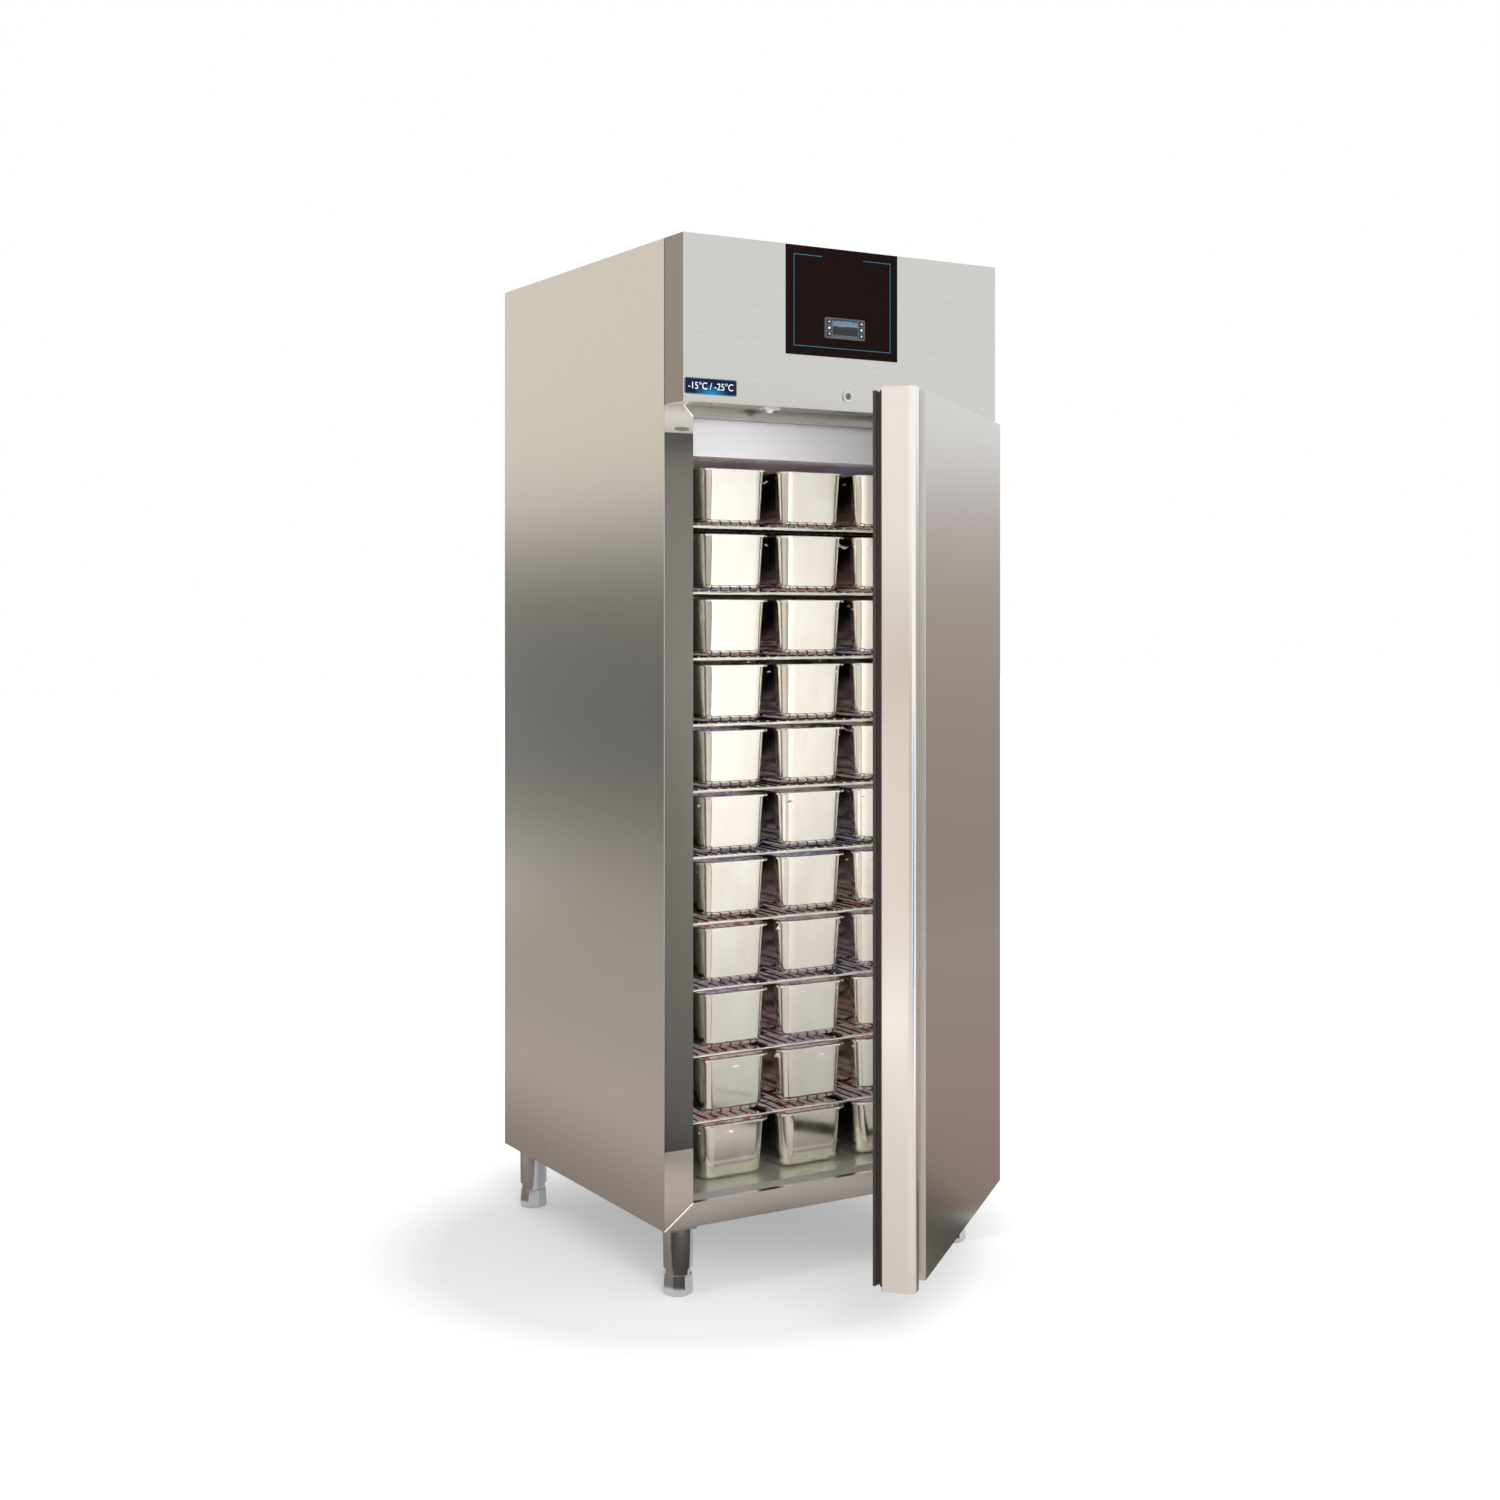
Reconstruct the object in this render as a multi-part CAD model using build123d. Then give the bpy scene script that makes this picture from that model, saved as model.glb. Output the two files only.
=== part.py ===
from build123d import *
import math
import os

os.makedirs("parts", exist_ok=True)

# Frame of the part, in millimetres: the floor is Z = 0, the front faces -Y, +X is to the right,
# and the origin lies on the floor under the middle of the cabinet body.

# Cabinet body
body_width = 740.0
body_depth = 745.0
body_top = 2040.0
leg_height = 138.0
outer_sheet = 1.0
liner_sheet = 0.8
side_wall = 55.0
back_wall = 58.0
ceiling_wall = 54.0
machine_height = 274.0
fit_gap = 0.2
running_gap = 0.3

# Front frame round the opening
stile_width = 64.0
bottom_rail_height = 46.0
top_rail_height = 64.0
frame_depth = 13.0
frame_sheet = 1.5
break_depth = 21.0
floor_step = 6.0
mitre_gap = 0.3

# Shelves, pans and their contents
pan_rows = 11
pans_across = 3
shelf_clearance = 3.0
shelf_depth = 400.0
shelf_setback = 34.0
bar_radius = 4.0
wire_radius = 1.5
cross_rod_radius = 3.0
weld_depth = 0.5
wire_spacing = 23.0
shelf_corner = 20.0
runner_sheet = 1.5
runner_lip = 12.0
runner_height = 16.0
post_width = 22.0
pan_gap = 18.0
pan_side_play = 33.0
pan_shift = 27.0
pan_front_margin = 12.0
pan_back_margin = 24.0
pan_headroom = 8.0
pan_rim_width = 6.0
pan_rim_height = 4.5
pan_sheet = 1.0
pan_taper = 4.0
pan_corner = 30.0
pan_foot_radius = 14.0
filling_freeboard = 12.0

# Air duct and evaporator
top_duct_height = 82.0
duct_setback = 8.0
duct_sheet = 1.2
rear_duct_depth = 164.0
coil_width = 480.0
coil_height = 420.0
coil_thickness = 70.0
coil_drop = 260.0
evaporator_fan_radius = 90.0
evaporator_fan_drop = 125.0
evaporator_plate = 240.0
evaporator_plate_height = 210.0

# Fascia above the door
fascia_height = 318.0
fascia_depth = 73.0
fascia_gap = 2.0
fascia_sheet = 1.2
glass_width = 263.0
glass_height = 213.0
glass_thickness = 1.5
glass_shift = -10.4
glass_top_margin = 0.6
controller_width = 94.0
controller_height = 41.0
controller_thickness = 4.0
controller_shift = -7.3
controller_drop = 157.0
controller_body_depth = 32.0
screen_width = 59.0
screen_height = 31.0
screen_thickness = 1.5
screen_rise = 3.0
key_width = 11.0
key_height = 9.0
key_thickness = 2.6
key_pitch = 12.0
key_travel = 0.8
key_proud = 1.0
key_margin = 9.0
label_width = 114.0
label_height = 31.0
label_thickness = 0.6
label_margin = 3.0
label_rise = 14.0
label_corner = 4.0

# Lock with a drop-down cam
lock_shift = 2.0
lock_rise = 29.0
lock_flange_radius = 12.0
lock_flange_thickness = 3.0
lock_barrel_radius = 9.0
lock_barrel_length = 22.0
lock_plug_radius = 7.0
lock_clearance = 0.1
lock_tail_radius = 4.0
cam_length = 45.0
cam_width = 14.0
cam_thickness = 3.0

# Door switch under the fascia
switch_shift = -156.0
switch_setback = 37.5
switch_flange_width = 36.0
switch_flange_depth = 24.0
switch_flange_thickness = 2.6
prong_width = 17.0
prong_depth = 10.0
prong_length = 7.0
prong_tip_share = 0.5
prong_travel = 6.0
prong_stem_radius = 3.0
prong_lead = 1.0
switch_body_height = 34.0
switch_body_wall = 4.5

# Door, drawn closed and then swung open about its hinge
door_thickness = 60.0
door_top_gap = 5.0
door_bottom_gap = 2.0
door_sheet = 1.2
door_flange = 22.0
door_open_at_rest = 40.25
nose_width = 34.0
nose_radius = 13.0
groove_width = 45.0
groove_depth = 25.0
groove_draft = 5.0
groove_radius = 5.0
end_cap_thickness = 6.0
pocket_clearance = 3.0
panel_field_inset = 64.0
panel_field_rise = 10.0
gasket_thickness = 17.0
gasket_width = 20.0
gasket_inset = 6.0
gasket_hinge_inset = 12.0
gasket_base = 4.0
gasket_head = 6.0
gasket_waist = 4.0

# Hinges and pins
hinge_inset_x = 13.4
hinge_inset_y = 12.0
hinge_pin_radius = 6.0
hinge_pin_reach = 24.0
hinge_bush_radius = 8.0
hinge_bush_clearance = 0.1
hinge_plate_width = 48.0
hinge_plate_thickness = 3.0
hinge_leg_thickness = 2.6
upper_leg_height = 36.0
fascia_knuckle_radius = 2.5
fascia_leaf_sheet = 1.0
fascia_leaf_length = 90.0
fascia_leaf_width = 22.0
fascia_hinge_offset = 250.0

# Legs and levelling feet
leg_inset_left = 55.0
leg_inset_right = 32.0
leg_inset_front = 46.0
right_leg_forward = 11.5
leg_inset_back = 32.5
leg_radius = 30.0
leg_wall = 1.5
leg_plate_size = 64.0
leg_plate_thickness = 8.0
leg_lower_end = 53.0
foot_sleeve_length = 40.0
foot_neck_radius = 26.5
foot_neck_end = 40.0
foot_waist_radius = 27.0
foot_flare_radius = 29.0
foot_flare_height = 6.0
foot_base_radius = 26.0
foot_stem_radius = 8.0

# Cooling machine above the insulated box
deck_sheet = 1.5
condenser_width = 320.0
condenser_height = 220.0
condenser_depth = 56.0
condenser_inset = 36.0
fin_spacing = 8.0
fin_sheet = 1.0
fin_cut_depth = 16.0
bend_pitch = 50.0
tube_radius = 5.0
condenser_fan_radius = 96.0
fan_hub_radius = 24.0
fan_hub_length = 22.0
fan_blade_chord = 50.0
fan_blade_thickness = 2.0
fan_blade_pitch = 25.0
fan_blades = 5
fan_tip_gap = 7.0
motor_radius = 34.0
motor_length = 48.0
shaft_radius = 4.0
shaft_clearance = 0.05
shroud_depth = 40.0
shroud_sheet = 2.0
compressor_radius = 92.0
compressor_height = 190.0
compressor_x = 150.0
compressor_y = 120.0
compressor_dome = 45.0
box_width = 150.0
box_depth = 110.0
box_height = 160.0
gland_radius = 9.0
gland_bore = 4.5
gland_reach = 10.0
pipe_radius = 4.0
pipe_row_offset = 25.0
drier_radius = 13.0
drier_length = 110.0

# Places that follow from the sizes above
right_x = body_width / 2
front_y = -body_depth / 2
back_y = body_depth / 2
body_bottom = leg_height
box_top = body_top - machine_height
opening_half = right_x - stile_width
opening_bottom = body_bottom + bottom_rail_height
opening_top = box_top - top_rail_height
inner_half = right_x - side_wall
floor_z = opening_bottom + floor_step
ceiling_z = box_top - ceiling_wall
break_front = front_y + frame_depth + fit_gap
liner_front = break_front + break_depth + fit_gap
liner_back = back_y - back_wall
duct_bottom = ceiling_z - top_duct_height
duct_front = liner_front + duct_setback
rear_duct_y = liner_back - rear_duct_depth
row_pitch = (duct_bottom - floor_z) / pan_rows
shelf_half = opening_half - shelf_clearance
shelf_front = liner_front + shelf_setback
shelf_back = shelf_front + shelf_depth
wire_rise = bar_radius + wire_radius - weld_depth
shelf_surface = wire_rise + wire_radius
pan_height = row_pitch - shelf_surface - bar_radius - pan_headroom + running_gap
pan_width = (2 * (shelf_half - pan_side_play) - (pans_across - 1) * pan_gap) / pans_across
pan_length = shelf_depth - pan_front_margin - pan_back_margin
pan_middle_y = shelf_front + pan_front_margin + pan_length / 2
post_half = inner_half - fit_gap
fascia_back = front_y - fascia_gap
fascia_front = fascia_back - fascia_depth
fascia_bottom = body_top - fascia_height
glass_front = fascia_front - glass_thickness
bezel_front = glass_front - controller_thickness
controller_z = body_top - controller_drop
lock_z = fascia_bottom + lock_rise
lock_front = fascia_front - lock_flange_thickness
lock_back = fascia_front + lock_barrel_length
switch_y = fascia_front + switch_setback
door_inner_y = front_y - running_gap - gasket_thickness
door_outer_y = door_inner_y - door_thickness
door_top = fascia_bottom - door_top_gap
door_bottom = body_bottom + door_bottom_gap
hinge_x = right_x - hinge_inset_x
hinge_y = door_inner_y - hinge_inset_y
deck_top = box_top + deck_sheet
left_leg_x = -right_x + leg_inset_left
right_leg_x = right_x - leg_inset_right
leg_front_y = front_y + leg_inset_front
leg_back_y = back_y - leg_inset_back
plate_bottom = body_bottom - leg_plate_thickness


def block(x0, x1, y0, y1, z0, z1):
    """A box between two corners."""
    return Pos((x0 + x1) / 2, (y0 + y1) / 2, (z0 + z1) / 2) * Box(x1 - x0, y1 - y0, z1 - z0)


def rod_x(x0, x1, y, z, radius):
    """A round bar along X."""
    return Pos((x0 + x1) / 2, y, z) * Rot(0, 90, 0) * Cylinder(radius, x1 - x0)


def rod_y(x, y0, y1, z, radius):
    """A round bar along Y."""
    return Pos(x, (y0 + y1) / 2, z) * Rot(90, 0, 0) * Cylinder(radius, y1 - y0)


def wire_y(x, y0, y1, z, radius):
    """A square wire along Y, its flats that far from the middle."""
    return block(x - radius, x + radius, y0, y1, z - radius, z + radius)


def rod_z(x, y, z0, z1, radius):
    """A round bar along Z."""
    return Pos(x, y, (z0 + z1) / 2) * Cylinder(radius, z1 - z0)


def save(name, *shapes):
    """Write one node, each of its solids apart."""
    solids = [solid for shape in shapes for solid in shape.solids()]
    export_step(solids[0] if len(solids) == 1 else Compound(solids), f"parts/{name}.step")


def slots_across(count, width, x_middle):
    """Middles of evenly spread slots along X."""
    return [x_middle + (index - (count - 1) / 2) * width for index in range(count)]


def side_panel(side):
    """Outer side sheet with a turned-in edge in front of the machine space and one at the back."""
    outer = side * right_x
    inner = outer - side * outer_sheet
    lip = outer - side * 14
    low, high = sorted((outer, inner))
    lip_low, lip_high = sorted((inner, lip))
    skin = block(low, high, front_y, back_y, body_bottom, body_top)
    front_lip = block(lip_low, lip_high, front_y, front_y + outer_sheet, box_top + 2, body_top - 4)
    return skin + front_lip


def back_panel():
    """Back sheet with air slots level with the machine and a hole for the mains gland."""
    half = right_x - outer_sheet - fit_gap
    sheet = block(-half, half, back_y - outer_sheet, back_y, body_bottom, body_top)
    middle_z = (box_top + body_top) / 2
    slots = [
        Pos(x, back_y, middle_z + row * 40) * Box(60, 4 * outer_sheet, 8)
        for x in slots_across(6, 84, -60)
        for row in (-1, 0, 1)
    ]
    gland_hole = rod_y(box_x_middle, back_y - 4, back_y + 4, gland_z, gland_radius - 1 + fit_gap)
    return sheet - slots - gland_hole


def base_panel():
    """Bottom sheet of the body."""
    half = right_x - outer_sheet - fit_gap
    back = back_y - outer_sheet - fit_gap
    return block(-half, half, front_y + frame_sheet + fit_gap, back, body_bottom, body_bottom + outer_sheet)


def top_cover():
    """Top sheet over the machine, with two rows of air slots."""
    half = right_x - outer_sheet - fit_gap
    back = back_y - outer_sheet - fit_gap
    sheet = block(-half, half, front_y + outer_sheet + fit_gap, back, body_top - outer_sheet, body_top)
    slots = [
        Pos(x, y, body_top) * Box(8, 150, 4 * outer_sheet)
        for x in slots_across(12, 40, 0)
        for y in (-60, 170)
    ]
    return sheet - slots


def machine_deck():
    """Sheet on top of the insulated box that carries the machine."""
    half = right_x - outer_sheet - fit_gap
    back = back_y - outer_sheet - fit_gap
    front = front_y + outer_sheet + fit_gap
    return block(-half, half, front, back, box_top + fit_gap, deck_top)


def frame_ring():
    """Face plate of the opening, with an edge turned in round the opening and one round the outside."""
    half = right_x - outer_sheet - fit_gap
    low = body_bottom
    plate = block(-half, half, front_y, front_y + frame_sheet, low, box_top)
    plate -= block(
        -opening_half, opening_half, front_y - 1, front_y + 2 * frame_sheet, opening_bottom, opening_top
    )
    back = front_y + frame_depth
    inner_edge = block(
        -opening_half - frame_sheet,
        opening_half + frame_sheet,
        front_y + frame_sheet,
        back,
        opening_bottom - frame_sheet,
        opening_top + frame_sheet,
    )
    inner_edge -= block(-opening_half, opening_half, front_y, back + 1, opening_bottom, opening_top)
    outer_edge = block(-half, half, front_y + frame_sheet, back, low + outer_sheet + fit_gap, box_top)
    outer_edge -= block(
        -half + frame_sheet,
        half - frame_sheet,
        front_y,
        back + 1,
        low + outer_sheet + fit_gap + frame_sheet,
        box_top - frame_sheet,
    )
    return plate + inner_edge + outer_edge


def mitre_wedge(side, top):
    """A thick wedge over one stile's share of a corner, from the outer corner to past the inner one."""
    outer_x = side * right_x
    outer_z = box_top if top else body_bottom
    inner_x = side * opening_half
    inner_z = opening_top if top else opening_bottom
    run_x = inner_x - outer_x
    run_z = inner_z - outer_z
    length = math.hypot(run_x, run_z)
    angle = math.degrees(math.atan2(run_z, run_x))
    cut = Pos(length / 2, 0, 0) * Box(2 * length, 4 * frame_depth, mitre_gap)
    return Pos(outer_x, front_y, outer_z) * Rot(0, -angle, 0) * cut


def front_frame():
    """The frame ring cut at its four mitres, as two stiles and two rails."""
    ring = frame_ring()
    for side in (-1, 1):
        for top in (False, True):
            ring -= mitre_wedge(side, top)
    pieces = ring.solids()
    stiles = [piece for piece in pieces if abs(piece.center().X) > opening_half / 2]
    rails = [piece for piece in pieces if abs(piece.center().X) <= opening_half / 2]
    return stiles, rails


def thermal_break():
    """Four plastic bars between the warm frame and the cold liner."""
    half = right_x - outer_sheet - fit_gap
    back = break_front + break_depth
    low = body_bottom + outer_sheet + fit_gap
    sides = [
        block(-half, -opening_half, break_front, back, low, box_top),
        block(opening_half, half, break_front, back, low, box_top),
    ]
    inner = opening_half - fit_gap
    top_bar = block(-inner, inner, break_front, back, opening_top, box_top)
    sill = Polyline(
        (break_front, low),
        (back, low),
        (back, floor_z),
        (back - 3, floor_z),
        (break_front, opening_bottom),
        close=True,
    )
    bottom_bar = Pos(-inner, 0, 0) * extrude(Plane.YZ * make_face(sill), 2 * inner)
    return [*sides, top_bar, bottom_bar]


def liner_tub():
    """Welded inner tub, open at the front."""
    tub = block(
        -inner_half - liner_sheet,
        inner_half + liner_sheet,
        liner_front,
        liner_back + liner_sheet,
        floor_z - liner_sheet,
        ceiling_z + liner_sheet,
    )
    return tub - block(-inner_half, inner_half, liner_front - 1, liner_back, floor_z, ceiling_z)


def insulation():
    """Five foam slabs between the tub and the outer sheets."""
    outer = right_x - outer_sheet - fit_gap
    inner = inner_half + liner_sheet + fit_gap
    low = body_bottom + outer_sheet + fit_gap
    back = back_y - outer_sheet - fit_gap
    tub_back = liner_back + liner_sheet + fit_gap
    return [
        block(-outer, -inner, liner_front, back, low, box_top),
        block(inner, outer, liner_front, back, low, box_top),
        block(-inner, inner, tub_back, back, low, box_top),
        block(-inner, inner, liner_front, tub_back, low, floor_z - liner_sheet - fit_gap),
        block(-inner, inner, liner_front, tub_back, ceiling_z + liner_sheet + fit_gap, box_top),
    ]


def bar_height(row):
    """Middle height of the bars of the shelf under a row of pans, counted from the floor row as 0."""
    return floor_z + row * row_pitch - shelf_surface


def shelf_racks():
    """Two posts on each side wall, and an angle runner on them under each shelf."""
    pieces = []
    runner_outer = shelf_half + runner_sheet + running_gap
    lip_inner = runner_outer - runner_sheet - runner_lip
    for side in (-1, 1):
        low_x, high_x = sorted((side * post_half, side * (runner_outer + fit_gap)))
        for y in (shelf_front + 60, shelf_back - 60):
            front = y - post_width / 2
            pieces.append(block(low_x, high_x, front, front + post_width, floor_z + fit_gap, duct_bottom - 2))
        for row in range(1, pan_rows):
            seat = bar_height(row) - bar_radius - running_gap
            leg_low, leg_high = sorted((side * runner_outer, side * (runner_outer - runner_sheet)))
            lip_low, lip_high = sorted((side * runner_outer, side * lip_inner))
            leg = block(leg_low, leg_high, shelf_front, shelf_back, seat - runner_sheet, seat + runner_height)
            lip = block(lip_low, lip_high, shelf_front, shelf_back, seat - runner_sheet, seat)
            pieces.append(leg + lip)
    return pieces


def bar_loop(half, front, back):
    """A round bar bent into a rectangle with curved corners."""
    x = half - shelf_corner
    bars = [rod_x(-x, x, y, 0, bar_radius) for y in (front, back)]
    bars += [rod_y(side * half, front + shelf_corner, back - shelf_corner, 0, bar_radius) for side in (-1, 1)]
    corners = ((x, back, 0), (-x, back, 90), (-x, front, 180), (x, front, 270))
    for centre_x, y, turn in corners:
        centre_y = y - shelf_corner if y == back else y + shelf_corner
        bend = Torus(shelf_corner, bar_radius, major_angle=90)
        bars.append(Pos(centre_x, centre_y, 0) * Rot(0, 0, turn) * bend)
    return bars[0].fuse(*bars[1:])


def wire_shelf():
    """One shelf: a bent bar frame, wires running front to back, and two rods under them."""
    half = shelf_half - bar_radius
    front = bar_radius
    back = shelf_depth - bar_radius
    count = int((2 * half - wire_spacing) / wire_spacing)
    wires = [wire_y(x, front, back, wire_rise, wire_radius) for x in slots_across(count, wire_spacing, 0)]
    rod_z_middle = wire_rise - wire_radius - cross_rod_radius + weld_depth
    third = shelf_depth / 3
    rods = [rod_x(-half, half, y, rod_z_middle, cross_rod_radius) for y in (third, 2 * third)]
    return bar_loop(half, front, back).fuse(*rods, *wires)


def wire_shelves():
    """The ten shelves, each seated on its runners."""
    shelf = wire_shelf().solids()[0]
    return [shelf.moved(Location((0, shelf_front, bar_height(row)))) for row in range(1, pan_rows)]


def pan_cavity(width, length, height, corner, foot_radius):
    """A tapering tub with rounded walls, hanging from Z = 0."""
    tub = extrude(RectangleRounded(width, length, corner), -height, taper=pan_taper)
    foot_edges = tub.edges().filter_by(lambda edge: edge.center().Z < -height + 0.01)
    return fillet(foot_edges, foot_radius)


def ice_cream_pan():
    """One pan with a rolled rim, hanging from Z = 0 at its rim's top."""
    mouth_width = pan_width - 2 * pan_rim_width
    mouth_length = pan_length - 2 * pan_rim_width
    outside = pan_cavity(mouth_width, mouth_length, pan_height, pan_corner, pan_foot_radius)
    inside = pan_cavity(
        mouth_width - 2 * pan_sheet,
        mouth_length - 2 * pan_sheet,
        pan_height - pan_sheet,
        pan_corner - pan_sheet,
        pan_foot_radius - pan_sheet,
    )
    rim = extrude(RectangleRounded(pan_width, pan_length, pan_corner), -pan_rim_height)
    rim = fillet(rim.edges().group_by(Axis.Z)[-1], pan_rim_height / 2.5)
    return rim + outside - inside


def pan_filling():
    """The ice cream in one pan, hanging from Z = 0 at the pan's rim."""
    gap = pan_sheet + fit_gap
    mouth_width = pan_width - 2 * pan_rim_width
    mouth_length = pan_length - 2 * pan_rim_width
    body = pan_cavity(
        mouth_width - 2 * gap,
        mouth_length - 2 * gap,
        pan_height - gap,
        pan_corner - gap,
        pan_foot_radius - gap,
    )
    reach = pan_length
    return body - block(-reach, reach, -reach, reach, -filling_freeboard, 1)


def pan_places():
    """Where the middle of each pan's rim stands, row by row."""
    places = []
    for row in range(pan_rows):
        seat = floor_z if row == 0 else bar_height(row) + shelf_surface
        for column in range(pans_across):
            x = pan_shift + (column - (pans_across - 1) / 2) * (pan_width + pan_gap)
            places.append(Location((x, pan_middle_y, seat + running_gap + pan_height)))
    return places


def air_duct_cover():
    """Folded sheet that closes the air duct under the ceiling, seen above the top row."""
    half = inner_half - fit_gap
    front = block(-half, half, duct_front, duct_front + duct_sheet, duct_bottom, ceiling_z - fit_gap)
    plate = block(-half, half, duct_front, rear_duct_y - fit_gap, duct_bottom, duct_bottom + duct_sheet)
    slots = [Pos(x, duct_front + 90, duct_bottom) * Box(30, 8, 4 * duct_sheet) for x in slots_across(12, 46, 0)]
    return front + plate - slots


def rear_duct_panel():
    """Sheet in front of the evaporator, with a fan opening and rows of return slots."""
    half = inner_half - fit_gap
    sheet = block(-half, half, rear_duct_y, rear_duct_y + duct_sheet, floor_z + fit_gap, ceiling_z - fit_gap)
    fan_hole = rod_y(0, rear_duct_y - 2, rear_duct_y + 4, evaporator_fan_z, evaporator_fan_radius + fan_tip_gap)
    slots = [
        Pos(x, rear_duct_y, floor_z + 60 + row * 30) * Box(60, 6 * duct_sheet, 10)
        for x in slots_across(5, 110, 0)
        for row in range(4)
    ]
    return sheet - fan_hole - slots


def finned_coil(width, height, depth):
    """A fin block with its end plates and return bends, its middle at the origin."""
    coil = Box(width, depth - 2, height - 8)
    for side in (-1, 1):
        coil += Pos(side * (width / 2 + 1), 0, 0) * Box(2, depth, height)
    rows = int((height - 30) / bend_pitch)
    bends = []
    for z in slots_across(rows, bend_pitch, 0):
        for side in (-1, 1):
            bend = Rot(0, 0, -90) * Torus(depth / 4, tube_radius, major_angle=180)
            bends.append(Pos(side * (width / 2 + 2), 0, z) * Rot(0, 0, 0 if side > 0 else 180) * bend)
    cut_count = int(width / fin_spacing) - 1
    cut = (fin_spacing - fin_sheet, fin_cut_depth, height - 20)
    cuts = [Pos(x, -depth / 2, 0) * Box(*cut) for x in slots_across(cut_count, fin_spacing, 0)]
    return (coil - cuts).fuse(*bends)


def fan_blades_part(radius):
    """A hub with pitched blades, turning about Y, its middle at the origin."""
    hub = Rot(90, 0, 0) * Cylinder(fan_hub_radius, fan_hub_length)
    blades = []
    reach = radius - fan_hub_radius + 4
    for index in range(fan_blades):
        blade = Pos(0, 0, fan_hub_radius - 4 + reach / 2) * Rot(0, 0, fan_blade_pitch)
        blade = blade * Box(fan_blade_chord, fan_blade_thickness, reach)
        blades.append(Rot(0, index * 360 / fan_blades, 0) * blade)
    wheel = hub.fuse(*blades)
    keep = Rot(90, 0, 0) * Cylinder(radius, 2 * fan_blade_chord)
    bore = Rot(90, 0, 0) * Cylinder(shaft_radius + shaft_clearance, 2 * fan_hub_length)
    return (wheel & keep) - bore


def fan_motor_part(radius, depth, plate_width, plate_height):
    """A shroud plate with a round throat, the motor behind it and four arms, its shaft along Y."""
    throat = radius + fan_tip_gap
    plate = Pos(0, -depth / 2, 0) * Box(plate_width, shroud_sheet, plate_height)
    collar = Rot(90, 0, 0) * Cylinder(throat + shroud_sheet, depth)
    hole = Rot(90, 0, 0) * Cylinder(throat, 3 * depth)
    ring = plate + collar - hole
    motor_front = fan_hub_length / 2 + 2
    motor = rod_y(0, motor_front, motor_front + motor_length, 0, motor_radius)
    shaft = rod_y(0, -fan_hub_length / 2, motor_front + 2, 0, shaft_radius)
    arm_y = depth / 2 - 3
    arms = []
    for turn in (45, 135, 225, 315):
        arm = Pos(0, 0, (throat + 1 + motor_radius) / 2) * Box(10, 4, throat + 1 - motor_radius + 8)
        arms.append(Pos(0, arm_y, 0) * Rot(0, turn, 0) * arm)
    return ring.fuse(motor, shaft, *arms)


def compressor():
    """A welded pot with a domed top, a foot plate and a terminal cover."""
    base = deck_top + 18
    waist = compressor_height - 2 * compressor_dome
    pot = Pos(0, 0, compressor_height / 2) * Cylinder(compressor_radius, compressor_height)
    pot = fillet(pot.edges().group_by(Axis.Z)[-1], compressor_dome)
    pot = fillet(pot.edges().group_by(Axis.Z)[0], compressor_dome * 0.8)
    seam = Pos(0, 0, compressor_dome + waist * 0.6) * Cylinder(compressor_radius + 3, 5)
    plate = Pos(0, 0, 2) * Box(2 * compressor_radius + 20, 1.5 * compressor_radius, 4)
    cover = Pos(compressor_radius - 4, 0, compressor_height * 0.5) * Box(40, 70, 80)
    cover = fillet(cover.edges().filter_by(Axis.Z), 8)
    pot = pot + seam + plate + cover
    grommets = []
    for x in (-compressor_radius, compressor_radius):
        for y in (-compressor_radius * 0.6, compressor_radius * 0.6):
            grommets.append(rod_z(x, y, -18, 0, 12))
    place = Pos(compressor_x, compressor_y, base)
    return [place * pot, *[place * grommet for grommet in grommets]]


def electrical_box():
    """A lidded box with its wiring, and the gland for the mains lead in the back panel."""
    x = box_x_middle
    back = back_y - outer_sheet - 14
    shell = block(x - box_width / 2, x + box_width / 2, back - box_depth, back, deck_top, deck_top + box_height)
    shell = fillet(shell.edges().filter_by(Axis.Z), 4)
    lid = block(
        x - box_width / 2 + 5,
        x + box_width / 2 - 5,
        back - box_depth - 3,
        back - box_depth,
        deck_top + 5,
        deck_top + box_height - 5,
    )
    bridge = rod_y(x, back - 1, back_y + gland_reach, gland_z, gland_radius - 1)
    nut = rod_y(x, back_y, back_y + gland_reach - 3, gland_z, gland_radius + 3)
    bore = rod_y(x, back_y - 8, back_y + gland_reach + 2, gland_z, gland_bore)
    return shell + lid + bridge + nut - bore


def bent_pipe(points, radius, bend):
    """A round pipe along straight runs joined by arcs."""
    path = FilletPolyline(*points, radius=bend)
    return sweep(Plane(origin=path @ 0, z_dir=path % 0) * Circle(radius), path=path)


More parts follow.
